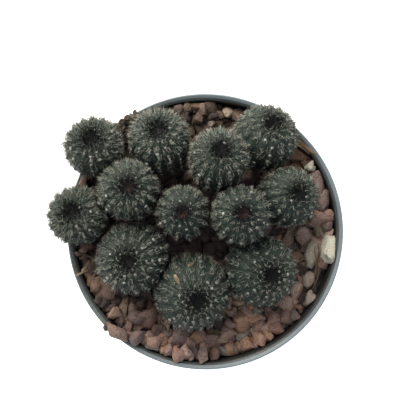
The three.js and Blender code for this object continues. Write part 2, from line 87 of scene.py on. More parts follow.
# Heaps against the wall: x, y, rise, reach
HEAPS = [
    (-24, -33, 6, 12), (-25, 36, 6, 9), (2, 40, 4, 12), (36, 24, 4, 8), (-8, 43, 4.5, 9),
    (41, 9, 5.5, 12), (41, -5, 6, 8), (-7, -42, 6, 9), (-38, -18, 3.5, 9),
]

# The heads
ROOT_TIP = 46
ROOTS_DRAWN_IN = 0.74
ROOT_REACH = 26
CLUMP_CENTRE = np.array([-2.0, 3.0, 0.0])
# The lit side, where bristles look palest and wool shows least
TOWARDS_LIGHT = np.array([-0.35, 0.88, 0.32])
# The kinds of pale bristle, and of young ones at the crown
PALE = [0.27, 0.31, 0.34]
BLACK = 0.66
# Heads whose young spines are reddish
REDDISH_CROWNS = ("head_07", "head_08", "head_09")
# Columns on the bristles' map, one for each kind
MAP_COLUMNS = 24
CROWN_RISE = 0.84
CROWN_DIP = 0.16
CROWN_DIP_REACH = 0.3
ROUNDNESS = 0.85
NECK = 0.48
STEM = 0.4
BARREL = 2.4
STEM_BEND = 0.15
ROOT_BEND = 0.4
OVERHANG = 3
CROWN_SPINES = 44
# The gaps that skins keep from each other and from the pot
SKIN_GAP = 0.25
POT_GAP = 0.3
COLUMNS_A_RIB = 8
CROWN_RINGS = 34
BODY_RINGS = 22
STEM_RINGS = 8

# name: x, y, rise of the widest section over the rim, radius, ribs, lean, side it leans to, and its
# bristles' share of the full length and how much they hide the skin and its wool
HEADS = {
    "head_01": (-35.5, 27.2, 10, 9, 16, 21, 100, 1.15, 1),
    "head_02": (-14.8, 29.5, 9, 9.3, 16, 27, 97, 1, 1),
    "head_03": (4.3, 23.5, 14, 8.9, 16, 19, 78, 0.9, 0.7),
    "head_04": (19.6, 31, 5, 9.8, 16, 35, 62, 0.8, 0.5),
    "head_05": (26.9, 11.4, 8, 9, 16, 22, 24, 0.75, 0.2),
    "head_06": (-40.9, 5.3, 11, 8.8, 16, 15, 133, 1.1, 0.9),
    "head_07": (-24.4, 13.6, 15, 8.9, 16, 7, 75, 0.85, 1),
    "head_08": (-7.2, 6.4, 15, 7.8, 14, 2, -49, 0.75, 0.3),
    "head_09": (11.2, 5.6, 16, 8.7, 16, 5, 58, 0.75, 0.4),
    "head_10": (-23.5, -8.3, 9, 10.9, 18, 7, 203, 0.8, 0.5),
    "head_11": (-4.1, -19.5, 7, 11.8, 18, 16, -51, 0.8, 0.2),
    "head_12": (17.9, -12.6, 6, 11, 18, 20, -17, 0.75, 0),
}

# Pale stones: centre; half sizes along the wall, across it and up; place on the colour ramp; and
# the planes that cut each from a ball, by direction and distance
PUMICE = {
    "pumice_1": ((40.6, -5.4, 74.4), (4.7, 2.8, 2.9), 0.97, [
        ((0.12, 0.25, 1), 0.66), ((1, 0, 0.1), 0.66), ((-1, 0.25, 0.5), 0.7), ((0.1, 1, 0.1), 0.7),
        ((-0.3, -1, 0.4), 0.74),
    ]),
    "pumice_2": ((35.1, -7.6, 70.8), (4.7, 2.5, 2.6), 0.4, [
        ((0.2, 0.3, 1), 0.84), ((-0.9, -0.8, 0.1), 0.8),
    ]),
    "pumice_3": ((34.4, -16, 68.8), (3, 2.1, 2.1), 0.22, [((0.2, -0.3, 1), 0.84), ((1, 0.3, 0.2), 0.84)]),
    "pumice_4": ((34.7, -22, 70.2), (2.7, 1.9, 2), 0.3, [
        ((0, 0.1, 1), 0.8), ((0.2, 1, 0), 0.6), ((0.87, -0.6, 0.1), 0.64), ((-0.87, -0.4, 0.1), 0.66),
    ]),
    "pumice_5": ((7.4, 39.1, 70.8), (2.1, 1.8, 1.8), 0.6, [((0.2, 0.3, 1), 0.9)]),
    "pumice_6": ((1.9, 35.6, 71), (1.4, 1.3, 1.4), 0.28, [((-0.4, 0.2, 1), 0.86)]),
}

# Dry remains: piece, width, thickness, curl, the solid that it stands for, and the points it passes
# through. The two fibres lie across the pale stones.
STRIPS = [
    ("dry_curl_strip", 0.85, 0.3, 0.7, ["dry_curl"], [
        (-41.9, -14.3, 77.2), (-39.7, -13.1, 76), (-37.9, -11.9, 75.2), (-36.9, -10.2, 75),
        (-37, -8.6, 75.2), (-38.4, -7.9, 75.4),
    ]),
    ("dry_husk_strip", 0.85, 0.3, 0.7, ["dry_husk"], [
        (28.4, 30.1, 78.2), (30.6, 29.3, 77.8), (32.6, 27.6, 76.9), (34.6, 26, 77.4),
        (36.4, 24.9, 77.5),
    ]),
    ("dry_leaf", 0.8, 0.25, 0.6, [], [
        (-40.3, -12.9, 75.2), (-39.2, -11.6, 75.8), (-38.3, -10.4, 75.9), (-37.6, -9.2, 75.4),
    ]),
    ("husk_fold", 1.1, 0.25, 0.6, [], [
        (29.4, 28.8, 74.6), (31, 27.9, 75.6), (32.8, 26.6, 76), (34, 25.2, 75.6),
    ]),
    ("wilted_flower_1", 1.1, 0.25, 0.6, [], [(-9.7, -13.1, 91), (-8.9, -14.6, 92.4), (-8, -16.3, 93)]),
    ("wilted_flower_2", 0.9, 0.25, 0.6, [], [(-5.4, -10.7, 90.5), (-4.4, -9.9, 90), (-3.6, -9.3, 88.9)]),
    ("dry_fibre_1", 0.34, 0.2, 0.5, [], [
        (36.8, -3, 75.6), (37.6, -6.6, 75.4), (36.9, -10.4, 74), (37.2, -14.6, 71.6),
        (35.2, -19.2, 72.4),
    ]),
    ("dry_fibre_2", 0.34, 0.2, 0.5, [], [
        (36.8, -3, 75.6), (35.7, -6, 74.4), (36.4, -10, 74), (35.9, -15.5, 72), (36.3, -20, 72),
    ]),
]
# Stone colours, from 0 to 1 along the ramp of the lava material
TONES = {
    "dark": 0.05, "purple": 0.2, "red": 0.36, "pink": 0.52, "orange": 0.66, "tan": 0.8, "olive": 0.91,
    "grey": 0.95, "cream": 1.02,
}

# Stones that stand out: x, y, half length, half width, turn in degrees, colour
NOTED_STONES = [
    (-33.4, -20, 3.7, 2.9, 40, "red"), (-32.8, -27.1, 2.8, 1.7, 80, "purple"),
    (-27.1, -26.1, 3.8, 2, 88, "tan"), (-23.9, -26.5, 3.4, 1.5, 105, "pink"),
    (-18.7, -28.5, 4.4, 3.2, 80, "red"), (-13, -31, 1.7, 1.5, 10, "tan"),
    (-22.4, -34.7, 2.5, 2.2, 10, "purple"), (-17.7, -34.5, 1.7, 1.5, 0, "purple"),
    (-18, -38.4, 2.3, 2, 20, "grey"), (-13.6, -35.5, 2.7, 2, 80, "orange"),
    (-8.6, -35, 3.4, 2.9, 0, "purple"), (-10.3, -38.5, 1.7, 1.3, 90, "purple"),
    (-14, -38.7, 1.5, 1.3, 0, "orange"), (-11.9, -40.7, 2.2, 1.5, 10, "pink"),
    (-6.7, -39.7, 2.3, 1.8, 80, "pink"), (-3.6, -39.4, 2.3, 1.5, 90, "dark"),
    (-1.9, -34.8, 3, 2.3, 0, "orange"), (4.5, -35.2, 3.4, 2, -5, "tan"),
    (5.5, -31.8, 1.8, 1.8, 0, "dark"), (11.8, -29.8, 3.5, 2.8, -5, "orange"),
    (18.2, -28.8, 1.8, 1.7, 0, "grey"), (21.1, -27.8, 2, 1.8, 0, "red"),
    (21.6, -32.2, 3.2, 2.5, -10, "pink"), (12.8, -34.7, 1.8, 1.8, 0, "grey"),
    (17, -35, 2.5, 1.8, 80, "red"), (20.2, -35.5, 1.7, 1.3, 90, "pink"),
    (5.6, -39.5, 3.2, 1.8, 0, "grey"), (11.8, -39, 2.3, 1.5, 5, "orange"),
    (16, -38.7, 1.8, 1.5, 10, "tan"), (-0.7, -41.4, 2.8, 1.3, 90, "pink"),
    (28.3, -27.1, 3.7, 2.2, 75, "red"), (25.6, -25, 1.7, 1.5, 0, "pink"),
    (27.1, -31.8, 1.2, 1, 0, "purple"), (30.3, -19.8, 3.7, 2.7, 80, "pink"),
    (32.6, -27.1, 1.5, 1, 80, "purple"), (37, 0, 1.5, 1.5, 0, "red"),
    (32.6, -1.2, 3.3, 2.6, -40, "pink"), (35.8, 22.1, 2, 1.3, 80, "grey"),
    (34, 20.5, 1.5, 1.3, 0, "orange"), (37.6, 23.5, 1, 1, 0, "pink"),
    (-3.2, 42.9, 2.2, 1.2, 0, "orange"), (-0.4, 43.1, 1.3, 1.2, 90, "pink"),
    (1.5, 41.2, 3.4, 2, 0, "red"), (4.1, 42.2, 1.7, 1.3, 90, "dark"), (-5.6, 41.1, 1.5, 1.5, 0, "tan"),
    (-6.1, 38.6, 1.7, 1.3, 70, "purple"), (-3.4, 36.9, 2.2, 1.2, 80, "red"),
    (4.5, 38.9, 1.5, 1.5, 0, "tan"), (4.1, 35.9, 1.3, 1.3, 0, "orange"),
    (7.5, 36, 1.5, 1.3, 0, "purple"), (10.8, 40.9, 2.3, 1.5, 10, "red"),
    (10.3, 38.2, 1.7, 1.3, 90, "orange"), (-11.9, 41.6, 2, 1.3, 15, "red"),
    (-8.5, 40.9, 1.7, 1.5, 20, "pink"), (-42.8, -7.5, 1.2, 0.8, 0, "red"),
    (-39.4, -7.4, 2, 1.2, 0, "dark"), (-40.1, -10.4, 2, 1.7, 70, "purple"),
    (-39.2, -16.5, 2.7, 1.5, 80, "orange"), (-37.1, -13.7, 2, 1, 85, "purple"),
]

# Stones that lie high against the wall or up on the rim, as above with z
HIGH_STONES = [
    (38.6, 16.6, 72.6, 3.3, 2.5, 80, "purple"), (39.9, 10.6, 73, 3.3, 2.3, 80, "purple"),
    (38.8, 5.4, 73, 3.6, 2.4, 15, "red"), (39.2, 1.2, 72.8, 2.7, 1.4, 10, "purple"),
    (-28.3, -32.7, 76.4, 4, 2, -32, "pink"), (-39.6, 16.4, 75.9, 2.2, 1.2, 70, "pink"),
    (35.7, 22.5, 74.4, 1.5, 1.1, 60, "cream"), (34.4, 20.7, 74, 1.2, 1.1, 0, "cream"),
    (-39.6, -6.1, 76, 1.5, 0.9, 0, "pink"), (-41.4, -7.4, 75.8, 0.9, 0.8, 0, "red"),
    (-39.4, -8.4, 75.3, 1.2, 0.9, 20, "red"), (-0.9, -41.2, 74.4, 2.5, 1.5, 85, "purple"),
    (-28, 33.2, 75.8, 1.9, 1.2, 35, "dark"), (-22.6, 36.8, 75.8, 1.7, 1.1, 28, "olive"),
]
# Heaps of olive crumbs on the rim: x, y, z, reach, count
CRUMB_HEAPS = [(-28, 33.4, 77.6, 2.4, 44), (-23.4, 36.4, 77.4, 2.2, 40), (-31.6, -30.8, 76.6, 1.2, 12)]
# The random draws of the gravel, the dry remains and the first head start from these
GRAVEL_SEED = 17
STRIPS_SEED = 31
HEADS_SEED = 200
SETTLING_STEPS = 40
# Strewn stones and crumbs lie within this radius and height
STREWN_RADIUS = 42
STREWN_TOP = 75
# For the lower and the upper layer of stones, how high it lies in the dressing and how large its stones are
LAYERS = [(-2.2, 0.92), (0.5, 1.0)]
UPPER_SHIFT = (0.25, 0.3)
# Among the heads, stones are painted dark within one reach of the clump's centre, a painted shade, and take
# one even painted light value within another
PAINTED_SHADE_REACH = 25
EVEN_PAINTED_LIGHT_REACH = 24
# The sectors, in degrees, where small stones lie right against the wall, and not lower than this
WALL_ROWS = [(72, 118), (150, 268), (276, 318)]
WALL_PITCH = 3.6
WALL_ROWS_FLOOR = 69
# How often the other stones have each of the tones, and how often on the paler right-hand side
CHANCES = [0.16, 0.25, 0.26, 0.14, 0.1, 0.04, 0.02, 0.03, 0]
CHANCES_ON_RIGHT = [0.03, 0.08, 0.2, 0.36, 0.08, 0.15, 0, 0.1, 0]

# Colours of the lava and of the pumice along their ramps
LAVA_STOPS = [
    (0, (60, 53, 51)), (0.14, (94, 79, 75)), (0.28, (120, 98, 93)), (0.4, (138, 105, 93)),
    (0.52, (154, 128, 117)), (0.66, (152, 116, 95)), (0.79, (154, 131, 112)), (0.86, (118, 98, 81)),
    (0.92, (104, 91, 74)), (0.975, (142, 137, 132)), (1, (156, 150, 138)),
]
PUMICE_STOPS = [
    (0, (150, 138, 128)), (0.2, (168, 150, 140)), (0.4, (176, 165, 147)), (0.6, (190, 168, 146)),
    (0.8, (194, 184, 164)), (1, (212, 205, 190)),
]
# The kinds of bristle from 0 to 1: place, colour at the root and colour at the tip
BRISTLE_STOPS = [
    (0, (46, 54, 44), (78, 88, 72)), (0.2, (66, 72, 62), (118, 124, 106)),
    (0.35, (114, 116, 108), (220, 221, 209)), (0.48, (76, 62, 50), (150, 134, 112)),
    (0.59, (20, 20, 23), (30, 28, 30)), (0.74, (18, 17, 20), (32, 28, 31)),
    (0.83, (84, 42, 38), (132, 74, 64)), (0.88, (120, 122, 114), (140, 142, 132)),
    (1, (206, 204, 198), (216, 214, 208)),
]

# The photograph's camera looks straight down at this place
CAMERA_X = -1.72
CAMERA_Y = 10.28
CAMERA_Z = 496
LENS = 116.1
# The soft lamp, in metres, and the colours of its light and of the sky
LAMP_PLACE = (-0.42, 0.8, 0.6)
LAMP_SIZE = 1.3
LAMP_COLOUR = (1, 0.95, 0.85)
SKY_COLOUR = (0.86, 0.95, 1, 1)
FLOOR_SIZE = 6


# Settings


def srgb(values):
    """Linear numbers of a colour given as sRGB numbers from 0 to 255."""
    return [((c / 255 + 0.055) / 1.055) ** 2.4 for c in values]


def length(name, description, default):
    """A length in metres, given in millimetres."""
    return bpy.props.FloatProperty(
        name=name, description=description, default=default * MM, precision=5, unit="LENGTH"
    )


def colour(name, description, default):
    """A colour, given as sRGB numbers."""
    return bpy.props.FloatVectorProperty(
        name=name, description=description, default=srgb(default), size=3, min=0, max=1, subtype="COLOR"
    )


def share(name, description, default):
    """A share from 0 to 1."""
    return bpy.props.FloatProperty(
        name=name, description=description, default=default, min=0, max=1, subtype="FACTOR"
    )


class PotSettings(bpy.types.PropertyGroup):
    height: length("Height", "Height of the pot", RIM_TOP)
    rim_radius: length("Rim radius", "Outside radius of the rim", RIM_RADIUS)
    rim_width: length("Rim width", "Width of the rim's top", 1.2)
    drain_radius: length("Drain hole radius", "Radius of each hole in the floor", 2.6)
    plastic: colour("Plastic", "Colour of the moulded plastic", (74, 81, 85))
    # Painted highlight: the rim's top is painted in this lighter colour
    rubbed: colour("Rubbed plastic", "Colour of the rubbed and faded plastic at the rim", (124, 137, 145))
    dusty: colour("Dust", "Colour of the dust and dried splashes", (140, 134, 122))
    # Partly a real stain and partly painted shade: the inside of the wall is darkened with this colour, and
    # faint patches of it lie over the whole pot
    stain_and_shade: colour("Soiled inside", "Colour of the stained inside of the wall", (46, 46, 44))


class FillingSettings(bpy.types.PropertyGroup):
    stone_spacing: length("Stone spacing", "Distance between neighbouring stones", 4.1)
    stone_radius: length("Stone radius", "Mean half size of a stone", 2.35)
    crumbs: bpy.props.IntProperty(
        name="Crumbs", description="Small crumbs lying between the stones", default=1100, min=0
    )
    soil: colour("Soil", "Colour of the potting mix", (52, 40, 32))
    straw: colour("Dry flowers", "Colour of the dry flower remains", (148, 122, 98))


class HeadSettings(bpy.types.PropertyGroup):
    rib_depth: share("Rib depth", "Depth of the grooves as a share of the radius", 0.036)
    tubercle: length("Tubercle height", "How far each areole's tubercle stands out", 0.36)
    areole_spacing: length("Areole spacing", "Distance between areoles along a rib", 2.8)
    bristle_length: length("Bristle length", "Mean length of a radial bristle", 2.2)
    bristle_width: length("Bristle width", "Thickness of a bristle at its root", 0.1)
    bristles: bpy.props.IntProperty(
        name="Bristles", description="Fine radial bristles on each areole", default=7, min=3
    )
    skin: colour("Skin", "Colour of the skin on the ribs", (35, 48, 41))
    # Painted shade: the grooves between the ribs are painted in this darker colour
    groove: colour("Grooves", "Colour of the skin in the grooves", (22, 30, 27))
    corky: colour("Old skin", "Colour of the corky old skin at the foot", (66, 57, 46))


class StudioSettings(bpy.types.PropertyGroup):
    sky: share("Sky light", "Strength of the light from all sides", 0.5)
    glow: share("Floor glow", "Strength of the light from the white paper itself", 0.85)
    lamp: bpy.props.FloatProperty(
        name="Lamp", description="Power of the large soft lamp", default=29, min=0, unit="POWER"
    )
    paper: colour("Floor", "Colour of the floor", (248, 248, 248))


# Objects and meshes


def select_nothing():
    """Leaves object mode with nothing selected."""
    if bpy.context.object and bpy.context.object.mode != "OBJECT":
        bpy.ops.object.mode_set(mode="OBJECT")
    bpy.ops.object.select_all(action="DESELECT")


def take(obj):
    """Makes an object the only selected one, and the active one."""
    select_nothing()
    obj.select_set(True)
    bpy.context.view_layer.objects.active = obj


def select_where(wanted):
    """In edit mode, selects the vertices whose place passes the test."""
    bpy.ops.object.mode_set(mode="OBJECT")
    mesh = bpy.context.object.data
    for layer in (mesh.polygons, mesh.edges):
        for part in layer:
            part.select = False
    for vertex in mesh.vertices:
        vertex.select = wanted(vertex.co)
    bpy.ops.object.mode_set(mode="EDIT")
    bpy.ops.mesh.select_mode(type="VERT")


def apply_modifiers(obj):
    take(obj)
    for modifier in list(obj.modifiers):
        bpy.ops.object.modifier_apply(modifier=modifier.name)


def apply_place(obj):
    take(obj)
    bpy.ops.object.transform_apply(location=True, rotation=True, scale=True)


def shade(obj, degrees=None):
    """Shades an object smooth, but not over edges that are sharper than an angle."""
    take(obj)
    if degrees:
        bpy.ops.object.shade_smooth_by_angle(angle=math.radians(degrees))
    else:
        bpy.ops.object.shade_smooth()


def finish_piece(obj, material, slot, *nodes):
    """Gives a piece its material, lets it ride with the part, and hides the solids that it stands for."""
    obj.data.materials.clear()
    obj.data.materials.append(material)
    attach(obj, "root")
    if nodes:
        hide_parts(*nodes)
    select_nothing()
    return obj


def mesh_object(name, points, faces):
    """An object from points in millimetres and faces."""
    mesh = bpy.data.meshes.new(name)
    mesh.from_pydata((np.asarray(points) * MM).tolist(), [], faces)
    obj = bpy.data.objects.new(name, mesh)
    bpy.context.scene.collection.objects.link(obj)
    return obj


def shape_arrays(obj):
    """Takes a modelled shape out of the scene and returns its points and faces."""
    points = np.array([vertex.co for vertex in obj.data.vertices])
    faces = [list(face.vertices) for face in obj.data.polygons]
    bpy.data.objects.remove(obj)
    return points, faces


def unit(vectors):
    """Vectors made 1 long."""
    return vectors / np.linalg.norm(vectors, axis=-1, keepdims=True)


def polar(radius, turn):
    return radius * math.cos(turn), radius * math.sin(turn)


def copied_faces(faces, count, size, start=0):
    """The faces of many copies of a shape in one list."""
    return [[i + start + n * size for i in face] for n in range(count) for face in faces]


def closed_faces(rings, columns):
    """The faces of rings of points that two last points close, at the top and at the foot."""
    faces = []
    for i in range(rings - 1):
        for j in range(columns):
            k = (j + 1) % columns
            faces.append([i * columns + j, (i + 1) * columns + j, (i + 1) * columns + k, i * columns + k])
    top, last = rings * columns, (rings - 1) * columns
    for j in range(columns):
        k = (j + 1) % columns
        faces += [[top, j, k], [top + 1, last + k, last + j]]
    return faces


def cut_by_planes(planes):
    """In edit mode, cuts off what lies past each plane, given by its direction and distance."""
    for direction, distance in planes:
        normal = Vector(direction).normalized()
        bpy.ops.mesh.select_all(action="SELECT")
        bpy.ops.mesh.bisect(plane_co=normal * distance, plane_no=normal, use_fill=True, clear_outer=True)
    bpy.ops.mesh.select_all(action="SELECT")


def set_attribute(obj, name, values):
    layer = obj.data.attributes.new(name, "FLOAT", "POINT")
    layer.data.foreach_set("value", np.asarray(values, np.float32))


def set_uv(obj, corner_uv):
    layer = obj.data.uv_layers.new(name="OFBake")
    layer.uv.foreach_set("vector", np.asarray(corner_uv, np.float32).ravel())


# Materials


def feed(tree, socket, value):
    """Joins a value to a socket if it comes from a node, or else sets it."""
    if isinstance(value, bpy.types.NodeSocket):
        tree.links.new(value, socket)
    else:
        socket.default_value = value


def add(tree, kind, inputs=None, **options):
    """Adds a node, sets its options and feeds its inputs."""
    node = tree.nodes.new("ShaderNode" + kind)
    for name, value in options.items():
        setattr(node, name, value)
    for name, value in (inputs or {}).items():
        feed(tree, node.inputs[name], value)
    return node


def attribute(tree, name):
    return add(tree, "Attribute", attribute_name=name).outputs["Fac"]


def pattern(tree, kind, output, **inputs):
    """A pattern on object coordinates."""
    place = add(tree, "TexCoord").outputs["Object"]
    return add(tree, kind, {"Vector": place, **inputs}).outputs[output]


def blended(tree, factor, first, second, blend="MIX"):
    """The colour between two colours, each from a node or as linear numbers."""
    ends = [c if isinstance(c, bpy.types.NodeSocket) else (*c[:3], 1) for c in (first, second)]
    inputs = {0: factor, 6: ends[0], 7: ends[1]}
    return add(tree, "Mix", inputs, data_type="RGBA", blend_type=blend).outputs[2]


def ramp(tree, factor, stops):
    """The colour of a ramp of (place, colour or grey) stops."""
    node = add(tree, "ValToRGB", {"Fac": factor})
    points = node.color_ramp.elements
    while len(points) < len(stops):
        points.new(0.5)
    for point, (place, value) in zip(points, stops):
        point.position = place
        point.color = (*(srgb(value) if isinstance(value, tuple) else [value] * 3), 1)
    return node.outputs["Color"]


def maths(tree, operation, first, second=0.0, clamp=False):
    inputs = {0: first, 1: second}
    return add(tree, "Math", inputs, operation=operation, use_clamp=clamp).outputs[0]


def new_group(name, inputs, outputs):
    """A node group with named sockets: returns the tree, what it is given and what it gives."""
    tree = bpy.data.node_groups.new(name, "ShaderNodeTree")
    kind = "NodeSocketFloat"
    for socket, default in inputs.items():
        tree.interface.new_socket(socket, in_out="INPUT", socket_type=kind).default_value = default
    for socket in outputs:
        tree.interface.new_socket(socket, in_out="OUTPUT", socket_type=kind)
    return tree, tree.nodes.new("NodeGroupInput").outputs, tree.nodes.new("NodeGroupOutput").inputs


def make_mottling():
    """A group of patches and fine grain on object coordinates."""
    outputs = ["Patches", "Grain", "Height"]
    tree, given, made = new_group("mottling", {"Patches": 200.0, "Grain": 2500.0}, outputs)
    patches = pattern(tree, "TexNoise", "Fac", Scale=given["Patches"], Detail=4.0)
    grain = pattern(tree, "TexNoise", "Fac", Scale=given["Grain"], Detail=3.0)
    for name, value in zip(outputs, (patches, grain, maths(tree, "MULTIPLY", patches, grain))):
        feed(tree, made[name], value)
    return tree


def make_settled_dust():
    """A group whose mask is where dust settles: on what faces up, in patches."""
    tree, given, made = new_group("settled_dust", {"Scale": 900.0, "Amount": 0.5}, ["Mask"])
    normal = add(tree, "NewGeometry").outputs["Normal"]
    up = add(tree, "SeparateXYZ", {"Vector": normal}).outputs["Z"]
    facing = maths(tree, "SMOOTH_MIN", maths(tree, "MAXIMUM", up, 0.0), 1.0)
    patches = pattern(tree, "TexNoise", "Fac", Scale=given["Scale"], Detail=5.0)
    mask = maths(tree, "MULTIPLY", facing, ramp(tree, patches, [(0.42, 0.0), (0.68, 1.0)]))
    feed(tree, made["Mask"], maths(tree, "MULTIPLY", mask, given["Amount"]))
    return tree


def group(tree, name, **inputs):
    """Places a shared group in a material and returns its outputs."""
    return add(tree, "Group", inputs, node_tree=bpy.data.node_groups[name]).outputs


def new_material(name, roughness, specular=0.5):
    """A material and its node tree."""
    material = bpy.data.materials.new(name)
    material.use_nodes = True
    tree = material.node_tree
    inputs = tree.nodes["Principled BSDF"].inputs
    inputs["Roughness"].default_value = roughness
    inputs["Specular IOR Level"].default_value = specular
    return material, tree


def covered(material, base, relief=None, depth=0.0, strength=1.0, gloss=None):
    """Joins a colour, a relief of a depth in metres and a roughness to a material's shader."""
    tree = material.node_tree
    inputs = tree.nodes["Principled BSDF"].inputs
    feed(tree, inputs["Base Color"], base)
    if gloss:
        feed(tree, inputs["Roughness"], gloss)
    if relief:
        bump = add(tree, "Bump", {"Height": relief, "Distance": depth, "Strength": strength})
        feed(tree, inputs["Normal"], bump.outputs["Normal"])
    return material


def make_plastic(settings):
    """Satin grey plastic: its rim top painted lighter as a painted highlight, stained and painted with
    shade inside, speckled browner and darker towards one side of the rim, with dust and fine scuffs.
    """
    material, tree = new_material("nursery_pot_plastic", 0.42)
    mottling = group(tree, "mottling", Patches=60.0, Grain=1400.0)
    # Painted highlight: the rim's top is painted lighter than the rest of the pot
    base = blended(tree, attribute(tree, "rubbed"), settings.plastic, settings.rubbed)
    worn = blended(tree, maths(tree, "MULTIPLY", mottling["Patches"], 0.12), base, settings.stain_and_shade)
    dust = group(tree, "settled_dust", Scale=500.0, Amount=0.35)["Mask"]
    dusty = blended(tree, dust, worn, settings.dusty)
    scuffs = pattern(tree, "TexNoise", "Fac", Scale=700.0, Detail=6.0, Distortion=1.5)
    scuffed = blended(tree, ramp(tree, scuffs, [(0.6, 0.0), (0.72, 0.3)]), dusty, settings.dusty)
    # Towards one side the rim is speckled browner and darker
    speckles = ramp(tree, mottling["Grain"], [(0.3, 0.2), (0.65, 0.8)])
    dirt = maths(tree, "MULTIPLY", attribute(tree, "dirt"), speckles)
    browned = blended(tree, dirt, scuffed, srgb((84, 76, 64)))
    # The inside of the wall is darkened in patches, partly a stain and partly painted shade
    inside_patches = ramp(tree, mottling["Patches"], [(0.35, 0.75), (0.7, 1.0)])
    inside_stain_and_shade = maths(tree, "MULTIPLY", attribute(tree, "inside"), inside_patches)
    stained_and_shaded = blended(tree, inside_stain_and_shade, browned, settings.stain_and_shade)
    gloss = ramp(tree, mottling["Grain"], [(0.3, 0.34), (0.7, 0.5)])
    return covered(material, stained_and_shaded, mottling["Height"], 0.06 * MM, 0.4, gloss)


def make_soil_material(settings):
    """Moist dark potting mix with pale specks."""
    material, tree = new_material("potting_mix", 0.95)
    mottling = group(tree, "mottling", Patches=350.0, Grain=1600.0)
    mixed = blended(tree, mottling["Patches"], [0.45 * c for c in settings.soil], settings.soil)
    specks = pattern(tree, "TexVoronoi", "Distance", Scale=500.0)
    pale = ramp(tree, specks, [(0.1, 0.7), (0.16, 0.0)])
    speckled = blended(tree, pale, mixed, srgb((150, 138, 118)))
    return covered(material, speckled, mottling["Height"], 0.6 * MM)


def make_stone_material(name, stops, pore_scale, pore_depth):
    """Porous stone whose colour follows each stone's tone and painted light, with mottling, pores painted
    dark as painted shade, and dust.
    """
    material, tree = new_material(name, 0.9)
    mottling = group(tree, "mottling", Patches=420.0, Grain=2600.0)
    shift = maths(tree, "MULTIPLY", maths(tree, "SUBTRACT", mottling["Patches"], 0.5), 0.16)
    plain = ramp(tree, maths(tree, "ADD", attribute(tree, "tone"), shift, clamp=True), stops)
    # Painted light: the light attribute scales the colour, so that each stone is painted lighter or darker
    # by how the light falls on it
    painted_brightness = maths(tree, "ADD", maths(tree, "MULTIPLY", attribute(tree, "light"), 1.7), 0.35)
    base = add(tree, "HueSaturation", {"Value": painted_brightness, "Color": plain}).outputs["Color"]
    grain = ramp(tree, mottling["Grain"], [(0.3, 0.6), (0.68, 1.12)])
    grained = blended(tree, 1.0, base, grain, "MULTIPLY")
    # Pores are painted dark: painted shade in the pits
    pores = pattern(tree, "TexVoronoi", "Distance", Scale=pore_scale, Randomness=1.0)
    solid = ramp(tree, pores, [(0.12, 0.0), (0.34, 1.0)])
    pitted = blended(tree, 0.75, blended(tree, solid, srgb((48, 36, 32)), grained), grained)
    dust = group(tree, "settled_dust", Scale=700.0, Amount=0.3)["Mask"]
    dusted = blended(tree, dust, pitted, srgb((140, 122, 110)))
    relief = maths(tree, "ADD", maths(tree, "MULTIPLY", solid, 0.6), mottling["Height"])
    return covered(material, dusted, relief, pore_depth)


def make_straw_material(settings):
    """Papery dry flower remains with long streaks and paler tips."""
    material, tree = new_material("dry_flower_remains", 0.8)
    place = add(tree, "UVMap", uv_map="OFBake").outputs["UV"]
    stretched = add(tree, "Mapping", {"Vector": place, "Scale": (3.0, 22.0, 1.0)}).outputs["Vector"]
    streaks = add(tree, "TexNoise", {"Vector": stretched, "Scale": 1.0, "Detail": 5.0}).outputs["Fac"]
    light = ramp(tree, streaks, [(0.35, 0.0), (0.65, 1.0)])
    streaked = blended(tree, light, [0.32 * c for c in settings.straw], settings.straw)
    along = add(tree, "SeparateXYZ", {"Vector": place}).outputs["X"]
    tip = ramp(tree, along, [(0.0, 1.0), (0.14, 0.6), (0.3, 0.0)])
    return covered(material, blended(tree, tip, streaked, srgb((176, 158, 134))), streaks, 0.2 * MM)


def make_skin(settings):
    """Dark green skin: grooves darker as painted shade, a near-black crown that is partly dark young growth
    and partly painted shade, greyish bloom, pale flecks and a corky foot.
    """
    material, tree = new_material("cactus_skin", 0.62, 0.3)
    mottling = group(tree, "mottling", Patches=260.0, Grain=3200.0)
    bloom = ramp(tree, mottling["Patches"], [(0.4, 0.0), (0.7, 0.5)])
    ribs = blended(tree, bloom, settings.skin, srgb((38, 49, 48)))
    # Painted shade: the skin is painted darker in the grooves
    groove_shaded = blended(tree, attribute(tree, "groove"), ribs, settings.groove)
    flecks = ramp(tree, mottling["Grain"], [(0.6, 0.0), (0.72, 0.3)])
    flecked = blended(tree, flecks, groove_shaded, srgb((100, 102, 86)))
    # The crown is painted near black: partly its dark young growth, partly painted shade in the crown's dip
    crowned = blended(tree, attribute(tree, "young"), flecked, srgb((11, 13, 15)))
    aged = maths(tree, "ADD", attribute(tree, "age"), maths(tree, "MULTIPLY", mottling["Patches"], 0.4))
    corky = blended(tree, ramp(tree, aged, [(0.85, 0.0), (1.25, 1.0)]), crowned, settings.corky)
    gloss = ramp(tree, mottling["Patches"], [(0.3, 0.5), (0.7, 0.75)])
    return covered(material, corky, mottling["Height"], 0.12 * MM, gloss=gloss)


def make_bristle_material():
    """Bristles and wool: the map's first number picks the kind, its second runs from root to tip."""
    material, tree = new_material("bristles_and_wool", 0.7, 0.2)
    place = add(tree, "UVMap", uv_map="OFBake").outputs["UV"]
    given = add(tree, "SeparateXYZ", {"Vector": place}).outputs
    root = ramp(tree, given["X"], [(at, dark) for at, dark, _ in BRISTLE_STOPS])
    tip = ramp(tree, given["X"], [(at, pale) for at, _, pale in BRISTLE_STOPS])
    patches = group(tree, "mottling", Patches=180.0, Grain=3000.0)["Patches"]
    dull = ramp(tree, patches, [(0.3, 0.78), (0.7, 1.05)])
    return covered(material, blended(tree, 1.0, blended(tree, given["Y"], root, tip), dull, "MULTIPLY"))


